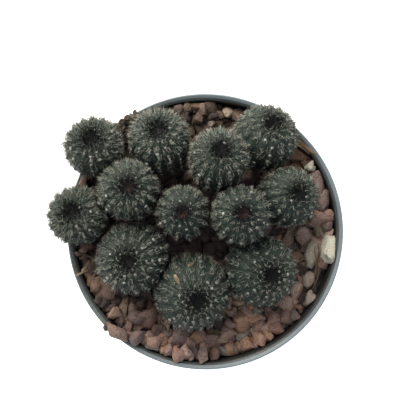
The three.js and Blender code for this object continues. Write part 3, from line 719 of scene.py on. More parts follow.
def make_floor_material(settings):
    """White paper that is lit from below, so that it stays plain white."""
    material, tree = new_material("floor_paper", 0.9)
    patches = group(tree, "mottling", Patches=6.0, Grain=200.0)["Patches"]
    white = blended(tree, patches, [0.985 * c for c in settings.paper], settings.paper)
    inputs = tree.nodes["Principled BSDF"].inputs
    feed(tree, inputs["Emission Color"], white)
    inputs["Emission Strength"].default_value = settings.glow
    return covered(material, white)


# The pot and the soil


def inside_radius(z):
    """The radius of the wall's inside at a height or an array of heights, in millimetres."""
    up = np.clip((z - COLLAR_FOOT) / COLLAR_HEIGHT, 0, 1)
    collar = COLLAR_RADIUS - WALL - COLLAR_TAPER * (1 - up)
    tapered = BASE_RADIUS - WALL + (z - FLOOR) / (COLLAR_FOOT - FLOOR) * (SHOULDER_RADIUS - BASE_RADIUS)
    return np.where(z > COLLAR_FOOT, collar, tapered)[()]


def stone_limit(z, gap):
    """The radius that stones keep inside: the wall's less a gap, the rim's, or none over the rim."""
    return np.select([z < RIM_EDGE, z < RIM_TOP + 0.05], [inside_radius(z) - gap, RIM_INSIDE], 99)


def rounded(profile, radius, steps=4):
    """A profile of (radius, height) points with its inner corners rounded."""
    points = [Vector(p) for p in profile]
    made = [points[0]]
    for before, corner, after in zip(points, points[1:], points[2:]):
        reach = min(radius, 0.45 * (corner - before).length, 0.45 * (after - corner).length)
        start = corner + (before - corner).normalized() * reach
        end = corner + (after - corner).normalized() * reach
        for i in range(steps + 1):
            t = i / steps
            made.append(start * (1 - t) ** 2 + corner * 2 * t * (1 - t) + end * t * t)
    made.append(points[-1])
    return made


def turn_by_extruding(name, profile, sides):
    """A closed turned body: a disc whose edge is extruded ring by ring along a profile in millimetres."""
    select_nothing()
    first = profile[0]
    bpy.ops.mesh.primitive_circle_add(
        vertices=sides, radius=first[0] * MM, fill_type="TRIFAN", location=(0, 0, first[1] * MM)
    )
    obj = bpy.context.object
    obj.name = obj.data.name = name
    apply_place(obj)
    bpy.ops.object.mode_set(mode="EDIT")
    select_where(lambda co: co.xy.length > 0.5 * first[0] * MM)
    for before, after in zip(profile, profile[1:]):
        rise = (0, 0, (after[1] - before[1]) * MM)
        grow = after[0] / before[0]
        bpy.ops.mesh.extrude_region_move(TRANSFORM_OT_translate={"value": rise})
        bpy.ops.transform.resize(value=(grow, grow, 1), center_override=(0, 0, 0))
    bpy.ops.mesh.merge(type="CENTER")
    bpy.ops.mesh.select_all(action="SELECT")
    bpy.ops.mesh.remove_doubles(threshold=0.00001)
    bpy.ops.mesh.normals_make_consistent(inside=False)
    bpy.ops.object.mode_set(mode="OBJECT")
    return obj


def make_pot(settings):
    """The pot: a rolled rim over a stepped collar, a tapered wall, a foot ring and drain holes."""
    height, rim = settings.height / MM, settings.rim_radius / MM
    lip = height - RIM_DEPTH
    floor = FLOOR + FLOOR_RISE
    profile = [
        (1, 0),
        (HUB_RADIUS, 0),
        (HUB_RADIUS + FLOOR_RISE, FLOOR_RISE),
        (FOOT_INSIDE_RADIUS - FLOOR_RISE, FLOOR_RISE),
        (FOOT_INSIDE_RADIUS, 0),
        (BASE_RADIUS, 0),
        (BASE_RADIUS + 3.4, 22),
        (BASE_RADIUS + 6.8, 44),
        (SHOULDER_RADIUS, COLLAR_FOOT - WALL),
        (COLLAR_RADIUS - COLLAR_TAPER, COLLAR_FOOT - WALL / 2),
        (COLLAR_RADIUS, lip),
        (rim, lip + 0.2),
        (rim, height - 0.5),
        (rim - 0.35, height),
        (rim - settings.rim_width / MM, height - 0.45),
        (inside_radius(height), height - 1),
        *[(inside_radius(z), z) for z in (COLLAR_FOOT + 0.3, COLLAR_FOOT, 30, floor)],
        (1, floor),
    ]
    pot = turn_by_extruding("pot_moulded", rounded(profile, 0.25), POT_SIDES)
    select_nothing()
    drills = []
    for i in range(DRAIN_HOLES):
        turn = (i + 0.5) / DRAIN_HOLES * math.tau
        place = Vector((*polar(DRAIN_CIRCLE, turn), floor / 2)) * MM
        bpy.ops.mesh.primitive_cylinder_add(
            vertices=32, radius=settings.drain_radius, depth=3 * floor * MM, location=place
        )
        drills.append(bpy.context.object)
    for drill in drills:
        drill.select_set(True)
    bpy.ops.object.join()
    drill = bpy.context.object
    apply_place(drill)
    cut = pot.modifiers.new("drain_holes", "BOOLEAN")
    cut.operation, cut.solver, cut.object = "DIFFERENCE", "EXACT", drill
    apply_modifiers(pot)
    bpy.data.objects.remove(drill)
    shade(pot, 40)
    places = [vertex.co / MM for vertex in pot.data.vertices]
    # The inside of the wall, which takes the stain and painted shade
    inside = [floor - 0.1 < p.z < height - 0.4 and p.xy.length < inside_radius(p.z) + 0.85 for p in places]
    set_attribute(pot, "inside", inside)
    # The rim's top, which takes the painted highlight
    set_attribute(pot, "rubbed", [p.z > lip + 0.1 for p in places])
    # How much each point at the rim is speckled browner and darker, most towards one side
    sides = [math.cos(math.atan2(p.y, p.x) - math.radians(BROWNER_SIDE)) for p in places]
    set_attribute(pot, "dirt", [max(side, 0) * (p.z > lip - 2) for side, p in zip(sides, places)])
    return finish_piece(pot, make_plastic(settings), "pot_plastic", "pot")


def make_soil(settings):
    """The potting mix: it fills the pot to just under the dressing, and its top is uneven."""
    foot = FLOOR + FLOOR_RISE + SOIL_GAP
    profile = [
        (1, foot),
        *[(inside_radius(z) - SOIL_GAP, z) for z in (foot, 30)],
        (inside_radius(SOIL_TOP) - SOIL_GAP, SOIL_TOP - 0.6),
        *[(radius, SOIL_TOP) for radius in range(38, 2, -2)],
        (1, SOIL_TOP),
    ]
    soil = turn_by_extruding("soil_mix", profile, SOIL_SIDES)
    grains = bpy.data.textures.new("soil_grains", "CLOUDS")
    grains.noise_scale = 0.003
    top = [v.index for v in soil.data.vertices if v.co.z > (SOIL_TOP - 0.1) * MM]
    soil.vertex_groups.new(name="top").add(top, 1.0, "REPLACE")
    bumps = soil.modifiers.new("grains", "DISPLACE")
    bumps.texture, bumps.strength, bumps.mid_level = grains, 1.6 * MM, 1.0
    bumps.direction, bumps.vertex_group = "Z", "top"
    apply_modifiers(soil)
    shade(soil, 50)
    return finish_piece(soil, make_soil_material(settings), "potting_mix", "soil")


# The heads' shapes, in millimetres


class Head:
    """A head's middle line, its widths and its size."""

    def __init__(self, name, x, y, rise, radius, ribs, lean, towards, length_share, cover):
        self.name, self.x, self.y, self.radius, self.ribs = name, x, y, radius, ribs
        self.length_share, self.cover = length_share, cover
        tilt = math.radians(lean)
        self.axis = np.array([*polar(math.sin(tilt), math.radians(towards)), math.cos(tilt)])
        self.centre = np.array([x, y, RIM_TOP + rise], float)
        outwards = np.array([x, y, 0.0]) - CLUMP_CENTRE
        away = np.linalg.norm(outwards)
        root = CLUMP_CENTRE + outwards * min(away * ROOTS_DRAWN_IN, ROOT_REACH) / away
        root[2] = ROOT_TIP
        height = self.centre[2] - ROOT_TIP
        bend, root_bend = STEM_BEND * height * self.axis, np.array([0, 0, ROOT_BEND * height])
        handles = [self.centre, self.centre - bend, root + root_bend, root]
        t = np.linspace(0, 1, 600)[:, None]
        weights = [(1 - t) ** 3, 3 * t * (1 - t) ** 2, 3 * t * t * (1 - t), t**3]
        self.line = sum(w * h for w, h in zip(weights, handles))
        steps = np.linalg.norm(np.diff(self.line, axis=0), axis=1)
        self.run = np.concatenate([[0], np.cumsum(steps)])
        self.length = self.run[-1]
        self.tangents = unit(np.gradient(self.line, self.run, axis=0))
        overhangs = math.hypot(x, y) + radius > RIM_RADIUS + OVERHANG
        foot = RIM_TOP + 1 if overhangs else DRESSING_TOP + 2
        self.body = float(np.interp(-foot, -self.line[:, 2], self.run))
        below = np.arange(0, self.length, 2.0)
        self.balls, self.ball_radii = self.points_at(below), self.radius_at(below)

    def along(self, values, below):
        """Values of the middle line at distances below the widest section."""
        return np.stack([np.interp(np.clip(below, 0, self.length), self.run, v) for v in values.T], 1)

    def points_at(self, below):
        """Points of the middle line below the widest section, or over it along the axis."""
        return self.along(self.line, below) + np.clip(-below, 0, None)[:, None] * self.axis

    def directions_at(self, below):
        """The axis and the two directions across it."""
        axis = unit(-self.along(self.tangents, below))
        side = unit(np.array([1.0, 0, 0]) - axis[:, :1] * axis)
        return axis, side, np.cross(axis, side)

    def radius_at(self, below):
        """The radius of body, stem and tapering root."""
        on_body = self.radius * (1 - (1 - NECK) * np.clip(below / self.body, 0, 1) ** BARREL)
        share_down = np.clip((below - self.body) / (self.length - self.body), 0, 1)
        return np.where(below <= self.body, on_body, self.radius * STEM * np.sqrt(1 - share_down))


def all_heads():
    return [Head(name, *given) for name, given in HEADS.items()]


def distance_from(head, points):
    """Distances of points from a head without its ribs and bristles."""
    nearest = np.full(len(points), 1e9)
    for centre, radius in zip(head.balls, head.ball_radii):
        nearest = np.minimum(nearest, np.linalg.norm(points - centre, axis=1) - radius)
    return nearest


def room_at(heads, own, points):
    """How much closer points are to their own head than to any other."""
    others = np.full(len(points), 1e9)
    for head in heads:
        near = np.linalg.norm(head.centre - own.centre) < 2.4 * (head.radius + own.radius)
        if head is not own and near:
            others = np.minimum(others, distance_from(head, points))
    return others - distance_from(own, points)


def clear_of_pot(points, gap):
    """Whether points are over the rim or inside the wall."""
    z = points[:, 2]
    return (z > RIM_TOP + gap) | (np.hypot(points[:, 0], points[:, 1]) < inside_radius(z) - gap)


def skin_of(heads, head, settings):
    """A head's skin as rings of points, with normals and the masks that its material reads."""
    angles = np.radians(np.linspace(90, 0, CROWN_RINGS + 1)[1:])
    across = np.cos(angles) ** ROUNDNESS
    dip = CROWN_DIP * np.exp(-((across / CROWN_DIP_REACH) ** 2))
    above = -head.radius * (CROWN_RISE * np.sin(angles) - dip)
    on_body = np.linspace(0, 1, BODY_RINGS + 1)[1:] * head.body
    on_stem = head.body + np.linspace(0, 0.98, STEM_RINGS + 1)[1:] * (head.length - head.body)
    below = np.concatenate([above, on_body, on_stem])
    radius = np.concatenate([head.radius * across, head.radius_at(below[CROWN_RINGS:])])
    slope = np.concatenate([angles, np.zeros(BODY_RINGS + STEM_RINGS)])
    ribbed = np.concatenate([np.ones(CROWN_RINGS + BODY_RINGS - 2), [0.6, 0.25], np.zeros(STEM_RINGS)])
    run = np.concatenate([[0], np.cumsum(np.hypot(np.diff(radius), np.diff(below)))])

    # Areoles are counted down the ribs, where they stand closer near the crown
    grown = np.clip(run / (0.8 * head.radius), 0, 1)
    spacing = settings.areole_spacing / MM * (0.45 + 0.55 * grown)
    count = np.concatenate([[0], np.cumsum(np.diff(run) / spacing[1:])])

    columns = head.ribs * COLUMNS_A_RIB
    column = np.arange(columns) / COLUMNS_A_RIB
    turn = column / head.ribs * math.tau
    offset = (column + 0.5) % 1 - 0.5
    rib = np.floor(column + 0.5).astype(int) % head.ribs
    valley = 1 - np.sqrt(1 - 0.97 * (2 * np.abs(offset)) ** 2.2)
    depth = np.minimum(0.14 * radius, settings.rib_depth * head.radius) * ribbed
    swell = np.cos(math.pi * offset) ** 2
    wave = 0.5 + 0.5 * np.cos(math.tau * (count[:, None] - 0.5 * (rib % 2)[None, :]))
    tubercle = settings.tubercle / MM * np.minimum(1, radius / head.radius * 1.6) * ribbed
    push = -depth[:, None] * valley + tubercle[:, None] * swell * (wave**1.5 - 0.3)

    middle = head.points_at(below)
    axis, side, front = (x[:, None] for x in head.directions_at(below))
    outwards = side * np.cos(turn)[None, :, None] + front * np.sin(turn)[None, :, None]
    lean = np.cos(slope)[:, None, None] * outwards + np.sin(slope)[:, None, None] * axis
    full = middle[:, None] + radius[:, None, None] * outwards + push[:, :, None] * lean

    # Where a neighbour or the wall presses on it, the skin is drawn in towards the middle line
    base = np.repeat(middle[:, None], columns, 1).reshape(-1, 3)
    reach = full.reshape(-1, 3) - base

    def fits(shares, which):
        at = base[which] + shares[:, None] * reach[which]
        return (room_at(heads, head, at) > SKIN_GAP) & clear_of_pot(at, POT_GAP)

    whole = np.ones(len(base))
    pressed = np.flatnonzero(~fits(whole, np.arange(len(base))))
    low, high = np.full(len(pressed), 0.25), np.ones(len(pressed))
    for _ in range(8):
        half = (low + high) / 2
        good = fits(half, pressed)
        low, high = np.where(good, half, low), np.where(good, high, half)
    whole[pressed] = low
    points = (base + whole[:, None] * reach).reshape(full.shape)

    down = np.gradient(points, axis=0)
    round_it = (np.roll(points, -1, 1) - np.roll(points, 1, 1)) / 2
    normals = np.cross(down, round_it)
    normals /= np.linalg.norm(normals, axis=2)[:, :, None] + 1e-9
    normals *= np.where((normals * lean).sum(2) < 0, -1, 1)[:, :, None]
    young = np.exp(-((run / (0.36 * head.radius)) ** 2))
    return {
        "points": points,
        "normals": normals,
        "count": count,
        "radius": radius,
        "whole": whole.reshape(points.shape[:2]),
        # The mask of painted shade in the grooves
        "groove": np.broadcast_to(np.clip(valley * 0.7, 0, 1), points.shape[:2]),
        "age": np.repeat(np.clip(below / head.body, 0, 1)[:, None], columns, 1),
        "young": np.repeat(young[:, None], columns, 1),
        "areoles_down": count[CROWN_RINGS + BODY_RINGS - 1],
        "top": head.points_at(np.array([-head.radius * (CROWN_RISE - CROWN_DIP)]))[0],
        "foot": head.points_at(np.array([head.length]))[0],
    }


def make_body(head, skin, material):
    """The ribbed body with its stem and root as one closed mesh."""
    rings, columns = skin["points"].shape[:2]
    points = np.concatenate([skin["points"].reshape(-1, 3), [skin["top"], skin["foot"]]])
    body = mesh_object(head.name + "_body", points, closed_faces(rings, columns))
    for name, ends in (("groove", (0, 1)), ("age", (0, 1)), ("young", (1, 0))):
        set_attribute(body, name, np.concatenate([skin[name].ravel(), ends]))
    sides = [(j / columns, (j + 1) / columns) for j in range(columns)]
    step = 1 / (rings + 1)
    uv = []
    for upper in step * np.arange(1, rings):
        lower = upper + step
        for left, right in sides:
            uv += [(left, upper), (left, lower), (right, lower), (right, upper)]
    for left, right in sides:
        middle = (left + right) / 2
        uv += [(middle, 0), (left, step), (right, step), (middle, 1), (right, 1 - step), (left, 1 - step)]
    set_uv(body, uv)
    shade(body)
    return finish_piece(body, material, "cactus_skin", head.name)


def find_areoles(head, skin, rng):
    """The areoles: points, normals, directions to the crown, numbers and half widths of the rib."""
    found = []
    rings = np.arange(len(skin["count"]))
    for rib in range(head.ribs):
        column = rib * COLUMNS_A_RIB
        place, normal, whole = (skin[name][:, column] for name in ("points", "normals", "whole"))
        number = 1.0 + 0.5 * (rib % 2)
        while number < skin["areoles_down"] - 0.3:
            at = np.interp(number + rng.uniform(-0.12, 0.12), skin["count"], rings)
            i = int(at)
            t = at - i
            width = np.interp(at, rings, skin["radius"]) * math.tau / head.ribs
            if width > (0.75 if rib % 2 else 0.4) and min(whole[i], whole[i + 1]) > 0.93:
                point, out = (x[i] * (1 - t) + x[i + 1] * t for x in (place, normal))
                found.append((point, out, place[i] - place[i + 1], number, width / 2))
            number += 1.0
    points, normals, upwards, numbers, gaps = (np.array(x) for x in zip(*found))
    normals = unit(normals)
    upwards = unit(upwards - (upwards * normals).sum(1)[:, None] * normals)
    return points, normals, upwards, numbers, gaps


def model_bristle():
    """One bristle of length 1 and root radius 1: a slender three-sided spike."""
    select_nothing()
    bpy.ops.mesh.primitive_cone_add(vertices=3, radius1=1, radius2=0, depth=1, location=(0, 0, 0.5))
    apply_place(bpy.context.object)
    return shape_arrays(bpy.context.object)


def model_tuft():
    """One tuft of wool: a low cushion of radius 1."""
    select_nothing()
    bpy.ops.mesh.primitive_ico_sphere_add(subdivisions=1, radius=1)
    return shape_arrays(bpy.context.object)


def bristle_corners(points, faces):
    """Where each corner of a bristle lies in its column: across it, and from root to tip."""
    corners = []
    for face in faces:
        roots = iter([(0.18, 0.01), (0.82, 0.01), (0.5, 0.059)])
        corners += [(0.5, 0.99) if points[i][2] > 0.5 else next(roots) for i in face]
    return np.array(corners)


def map_corners(tones, corners):
    """The map of many copies, where each copy's tone picks its column."""
    column = np.clip(np.floor(tones * MAP_COLUMNS), 0, MAP_COLUMNS - 1)
    u = (column[:, None] + corners[None, :, 0]) / MAP_COLUMNS
    return np.stack([u, np.broadcast_to(corners[None, :, 1], u.shape)], 2).reshape(-1, 2)


def grow_bristles(heads, head, skin, areoles, settings, rng):
    """All bristles of a head as roots, directions, lengths, widths and kinds."""
    points, normals, upwards, aside, young, old, lit, gaps = areoles
    edge = np.clip((math.hypot(head.x, head.y) - 38) / 4, 0, 1)
    n = len(points)
    batches = []

    def batch(count, slope, spread, size, width, kinds, combed=1.0, fan=0.0, outward=0.0, kept=1.0):
        """Bristles round each areole. Combed ones lie along the rib, fanned ones root across it, and
        outward ones point away from the crown."""
        turn = (np.arange(count) + rng.uniform(-0.4, 0.4, (n, count))) / count * math.tau
        turn = turn + rng.uniform(0, math.tau, (n, 1))
        rise = np.radians(slope[:, None] + rng.uniform(-spread, spread, (n, count)))
        sideways, along = combed * np.cos(turn), np.sin(turn)
        along = np.where(rng.random((n, count)) < outward, -np.abs(along) - 0.4, along)
        norm = np.hypot(sideways, along)
        sideways, along = sideways / norm, along / norm
        flat = sideways[:, :, None] * aside[:, None] + along[:, :, None] * upwards[:, None]
        way = np.cos(rise)[:, :, None] * flat + np.sin(rise)[:, :, None] * normals[:, None]
        long = size[:, None] * rng.uniform(0.7, 1.15, (n, count)) * (0.8 + 0.4 * np.abs(along))
        shift = fan * rng.uniform(-1, 1, (n, count))
        sunk = (0.05 + 0.36 * shift**2)[:, :, None] * normals[:, None]
        shift = (shift * gaps[:, None])[:, :, None]
        start = points[:, None] + shift * aside[:, None] - sunk + 0.12 * flat
        tones = rng.choice(kinds, (n, count)) + 0.08 * old[:, None] + rng.uniform(-0.04, 0.04, (n, count))
        tones = np.where(rng.random((n, count)) < 1.5 * young[:, None] - 0.5, BLACK, tones)
        thick = width * rng.uniform(0.75, 1.25, (n, count))
        grown = rng.random((n, count)) < np.broadcast_to(kept, n)[:, None]
        batches.append([x[grown] for x in (start, way, long, thick, tones)])

    width = settings.bristle_width / MM / 2
    reach = settings.bristle_length / MM * head.length_share
    long = reach * (1 - 0.2 * young) * (1.15 - 0.5 * old)
    # Painted highlight: pale bristles are kept more often on the side that faces the light
    painted_brightness = np.clip(0.6 + 0.85 * lit, 0.2, 1)
    combed, cover = (0.35, 0.95, 0.8), head.cover
    centrals = [0.62] if edge > 0.5 else [0.26, 0.33, 0.46, BLACK]
    batch(settings.bristles, 18 + 22 * young, 12, long, width, [0.04, 0.12, 0.2], 0.8, 0.7)
    batch(6 + round(6 * cover), 40 + 24 * young, 14, 0.9 * long, 1.05 * width, PALE, *combed, painted_brightness)
    batch(3, 46 + 20 * young, 16, 0.8 * long, 1.5 * width, PALE, 0.7, 0.4, kept=painted_brightness)
    batch(5 + round(2 * cover), 36 + 26 * young, 14, long, 1.5 * width, [0.62, 0.7], *combed)
    batch(3, 58 + 16 * young, 14, (1 + 0.4 * edge) * long, 1.4 * width, centrals)

    # The young spines of the crown stand upright
    count = CROWN_SPINES
    out, turn = np.sqrt(rng.random(count)), rng.uniform(0, math.tau, count)
    axis, side, front = (x[0] for x in head.directions_at(np.zeros(1)))
    spoke = np.cos(turn)[:, None] * side + np.sin(turn)[:, None] * front
    lift = 0.02 * head.radius * out**2 - 0.1
    start = skin["top"] + (0.11 * head.radius * out)[:, None] * spoke + lift[:, None] * axis
    tilt = np.radians(6 + 34 * out + rng.uniform(-6, 6, count))
    way = np.sin(tilt)[:, None] * spoke + np.cos(tilt)[:, None] * axis
    tones = (0.82 if head.name in REDDISH_CROWNS else 0.68) + rng.uniform(-0.04, 0.02, count)
    batches.append([start, way, rng.uniform(1.2, 1.9, count), np.full(count, 1.4 * width), tones])

    # Bristles that reach a neighbour or the pot are shortened twice, and left out if they still do
    start, way, long, thick, tones = (np.concatenate(x) for x in zip(*batches))

    def free(gap, pot_gap):
        tips = start + way * long[:, None]
        return (room_at(heads, head, tips) > gap) & clear_of_pot(tips, pot_gap)

    for _ in range(2):
        long = np.where(free(0.2, POT_GAP), long, 0.6 * long)
    kept = free(0.1, 0.1)
    return [x[kept] for x in (start, way, long, thick, tones)]


def place_along(shape, starts, ways, longs, thicks):
    """Copies of a spike along many directions."""
    spare = np.where(np.abs(ways[:, 2:]) < 0.9, np.array([[0, 0, 1.0]]), np.array([[1.0, 0, 0]]))
    side = unit(np.cross(ways, spare))
    front = np.cross(ways, side)
    x, y, z = shape.T
    across = x[None, :, None] * side[:, None] + y[None, :, None] * front[:, None]
    along = (z[None, :] * longs[:, None])[:, :, None] * ways[:, None]
    return starts[:, None] + across * thicks[:, None, None] + along


def make_bristles(heads, head, skin, settings, material, shapes, rng):
    """A head's bristles and the wool of its areoles as one piece."""
    (spike, spike_faces), (tuft, tuft_faces) = shapes
    points, normals, upwards, numbers, gaps = find_areoles(head, skin, rng)
    aside = np.cross(normals, upwards)
    young = np.clip((3.2 - numbers) / 2.2, 0, 1)
    old = np.clip(numbers / skin["areoles_down"], 0, 1)
    lit = normals @ TOWARDS_LIGHT
    areoles = points, normals, upwards, aside, young, old, lit, gaps
    start, way, long, thick, tones = grow_bristles(heads, head, skin, areoles, settings, rng)
    hairs = place_along(spike, start, way, long, thick)

    n = len(points)
    # White wool is chosen by the light too: more often on the shaded side, and on old areoles
    white = rng.random(n) < 0.34 - 0.4 * lit + 0.25 * old
    wide = np.where(white, rng.uniform(0.42, 0.64, n), rng.uniform(0.3, 0.4, n)) * (1 - 0.3 * young)
    high = np.where(white, rng.uniform(0.34, 0.46, n), 0.2)
    tufts = (points + 0.04 * normals)[:, None] + sum(
        tuft[None, :, i, None] * (size[:, None] * way)[:, None]
        for i, (size, way) in enumerate(((wide, aside), (0.85 * wide, upwards), (high, normals)))
    )
    wool = np.where(young > 0.8, BLACK, np.where(white, rng.uniform(0.88, 0.93, n), 0.24))
    corners = np.tile([(0.1, 0.4), (0.9, 0.4), (0.5, 0.7)], (len(tuft_faces), 1))
    hair_uv = map_corners(tones, bristle_corners(spike, spike_faces))

    everything = np.concatenate([hairs.reshape(-1, 3), tufts.reshape(-1, 3)])
    faces = copied_faces(spike_faces, len(hairs), len(spike))
    faces += copied_faces(tuft_faces, n, len(tuft), len(hairs) * len(spike))
    piece = mesh_object(head.name + "_bristles", everything, faces)
    set_uv(piece, np.concatenate([hair_uv, map_corners(wool, corners)]))
    return finish_piece(piece, material, "cactus_skin")


# The dressing


def dressing_height(x, y):
    """The height of the dressing at a place, with the heaps against the wall."""
    height = DRESSING_TOP + DRESSING_SLOPE[0] * x + DRESSING_SLOPE[1] * y
    for hx, hy, rise, reach in HEAPS:
        height = height + rise * np.exp(-(np.hypot(x - hx, y - hy) / reach) ** 2)
    return height


def from_clump(x, y):
    """The distance of a place from the middle of the clump."""
    return math.hypot(x - CLUMP_CENTRE[0], y - CLUMP_CENTRE[1])


def model_chip(rng, cuts, bevel):
    """One crushed stone of about radius 1: a block cut by random planes, with worn edges."""
    select_nothing()
    bpy.ops.mesh.primitive_cube_add(size=2.4)
    chip = bpy.context.object
    bpy.ops.object.mode_set(mode="EDIT")
    cut_by_planes([(rng.normal(size=3), rng.uniform(0.72, 0.98)) for _ in range(cuts)])
    bpy.ops.mesh.remove_doubles(threshold=0.06)
    bpy.ops.mesh.dissolve_limited(angle_limit=math.radians(4))
    bpy.ops.mesh.select_all(action="SELECT")
    bpy.ops.mesh.bevel(offset=bevel, segments=1, affect="EDGES")
    bpy.ops.mesh.normals_make_consistent(inside=False)
    bpy.ops.object.mode_set(mode="OBJECT")
    return shape_arrays(chip)


def strew_stones(settings, rng):
    """Rows of x, y, z, three half sizes, turn, tone and whether the stone is one that stays put."""
    rows = []
    for x, y, a, b, turn, tone in NOTED_STONES:
        z = dressing_height(x, y) + 0.35 * b + rng.uniform(-0.5, 0.7)
        rows.append((x, y, z, a, b, 0.9 * b, math.radians(turn), TONES[tone], 1))
    for x, y, z, a, b, turn, tone in HIGH_STONES:
        rows.append((x, y, z, a, b, 0.7 * b, math.radians(turn), TONES[tone], 1))
    for degrees in np.concatenate([np.arange(*row, WALL_PITCH) for row in WALL_ROWS]):
        size = rng.uniform(1, 2.4)
        turn = math.radians(degrees + rng.uniform(-1.5, 1.5))
        x, y = polar(STREWN_RADIUS - 0.8 * size, turn)
        z = min(max(dressing_height(x, y), WALL_ROWS_FLOOR) + rng.uniform(-0.4, 1.2), STREWN_TOP)
        tone = rng.choice([0.2, 0.36, 0.52, 0.66]) + rng.uniform(-0.05, 0.05)
        rows.append((x, y, z, size, 0.8 * size, 0.75 * size, turn, tone, 0))

    # The lower layer fills the gaps of the upper one, and under the heads the stones are painted dark, a
    # painted shade
    kinds = list(TONES.values())
    spacing = settings.stone_spacing / MM
    reach = int(46 / spacing) + 1
    steps = range(-reach, reach + 1)
    for layer, i, j in itertools.product((0, 1), steps, steps):
        height, scale = LAYERS[layer]
        x = (i + (j % 2) / 2 + UPPER_SHIFT[0] * layer + 0.5 * (rng.random() - 0.5)) * spacing
        y = (0.87 * j + UPPER_SHIFT[1] * layer + 0.5 * (rng.random() - 0.5)) * spacing
        size = settings.stone_radius / MM * rng.uniform(0.65, 1.25) * scale
        z = dressing_height(x, y) + height + rng.uniform(-0.8, 0.8)
        b, c = rng.uniform(0.62, 0.95) * size, rng.uniform(0.55, 0.85) * size
        kind = rng.choice(kinds, p=CHANCES_ON_RIGHT if x > 6 else CHANCES)
        tone = min(kind + rng.uniform(-0.05, 0.05), 0.97)
        # Painted shade: stones under the heads take a dark tone
        if from_clump(x, y) < PAINTED_SHADE_REACH:
            tone = rng.uniform(0.08, 0.2)
        if math.hypot(x, y) < inside_radius(z) - 0.6 * size:
            rows.append((x, y, z, size, b, c, rng.uniform(0, math.tau), tone, 0))
    return np.array(rows, float)


def settle_stones(heads, stones):
    """Pushes stones apart, off the heads and the pumice and in from the wall; buried ones are left out."""
    place, fixed = stones[:, :3].copy(), stones[:, 8] > 0
    target = place.copy()
    ball = stones[:, 3:6].mean(1)
    pumice = np.array([centre for centre, *_ in PUMICE.values()])
    pumice_ball = np.array([np.mean(halves) for _, halves, *_ in PUMICE.values()])
    core_centres = np.concatenate([head.balls for head in heads])
    core_radii = np.concatenate([head.ball_radii for head in heads])
    for _ in range(SETTLING_STEPS):
        push = 0.06 * (target - place)
        apart = place[:, None] - place[None]
        away = np.linalg.norm(apart, axis=2) + 1e-6
        lap = np.clip(0.84 * (ball[:, None] + ball[None]) - away, 0, None)
        np.fill_diagonal(lap, 0)
        push += ((0.3 * lap / away)[:, :, None] * apart).sum(1)
        for centres, radii, ease in ((pumice, pumice_ball, 0.9), (core_centres, core_radii, 0.85)):
            out = place[:, None] - centres[None]
            gap = np.linalg.norm(out, axis=2) + 1e-6
            lap = np.clip(ease * ball[:, None] + radii[None] - gap, 0, None)
            push += ((0.6 * lap / gap)[:, :, None] * out).sum(1)
        push[fixed] = 0
        place += np.clip(push, -0.8, 0.8)
        limit = inside_radius(place[:, 2]) - 0.85 * stones[:, 4]
        radial = np.hypot(place[:, 0], place[:, 1])
        inwards = np.where(~fixed & (radial > limit), limit / radial, 1)
        place[:, :2] *= inwards[:, None]
    stones[:, :3] = place
    buried = np.zeros(len(stones), bool)
    for head in heads:
        buried |= distance_from(head, place) < 0.25 * ball
    return stones[~buried | fixed]


def settled_in_pot(points, on_rim):
    """A stone moved clear of the wall: inwards and up off the ledge, or up onto the rim."""

    def lifted(over, height):
        return points + np.array([0, 0, np.clip(height - points[over, 2], 0, None).max(initial=0)])

    radial = np.hypot(points[:, 0], points[:, 1])
    if on_rim:
        return lifted(radial > RIM_INSIDE - 0.2, RIM_TOP + 0.08)
    if points[:, 2].mean() > COLLAR_FOOT - 0.5:
        points = lifted(radial > inside_radius(COLLAR_FOOT) - 0.15, COLLAR_FOOT + 0.15)
    excess = (radial - stone_limit(points[:, 2], 0.12)).max()
    if excess <= 0:
        return points
    return points - np.array([*(unit(points[:, :2].mean(0)) * excess), 0])


def copies_of_stones(name, stones, shapes, rng):
    """One piece of copies of the modelled stones at their places, with the tone and painted light of each.
    """
    points, faces, tones, painted_lights = [], [], [], []
    start = 0
    for x, y, z, a, b, c, turn, tone, *_ in stones:
        shape, shape_faces = shapes[rng.integers(len(shapes))]
        own = random_turn(shape, rng, math.pi) * np.array([a, b, c])
        tipped = random_turn(own, rng, 0.85, flat=True)
        cos, sin = math.cos(turn), math.sin(turn)
        turned = tipped @ np.array([[cos, sin, 0], [-sin, cos, 0], [0, 0, 1]])
        points.append(settled_in_pot(turned + np.array([x, y, z]), z > 75.7))
        faces += copied_faces(shape_faces, 1, 0, start)
        tones += [tone] * len(shape)
        # Painted light: stones are painted lighter towards the lower right, where the light falls, and
        # darker at the top, and between the heads they get one even painted light value
        light = rng.uniform(0.36, 0.6) + 0.36 * math.tanh((x - 0.6 * y) / 20)
        light += 0.25 * (x > 6 and y < -16) - 0.1 * (y > 28)
        if from_clump(x, y) < EVEN_PAINTED_LIGHT_REACH:
            light = 0.9
        painted_lights += [light] * len(shape)
        start += len(shape)
    piece = mesh_object(name, np.concatenate(points), faces)
    set_attribute(piece, "tone", tones)
    set_attribute(piece, "light", np.clip(painted_lights, 0, 1.3))
    return piece


def random_turn(points, rng, most, flat=False):
    """Points turned by up to an angle about a random axis, which is level if flat."""
    axis = rng.normal(size=3)
    if flat:
        axis[2] = 0
    x, y, z = unit(axis)
    angle = rng.uniform(-most, most)
    cross = np.array([[0, -z, y], [z, 0, -x], [-y, x, 0]])
    turn = np.eye(3) + math.sin(angle) * cross + (1 - math.cos(angle)) * cross @ cross
    return points @ turn.T


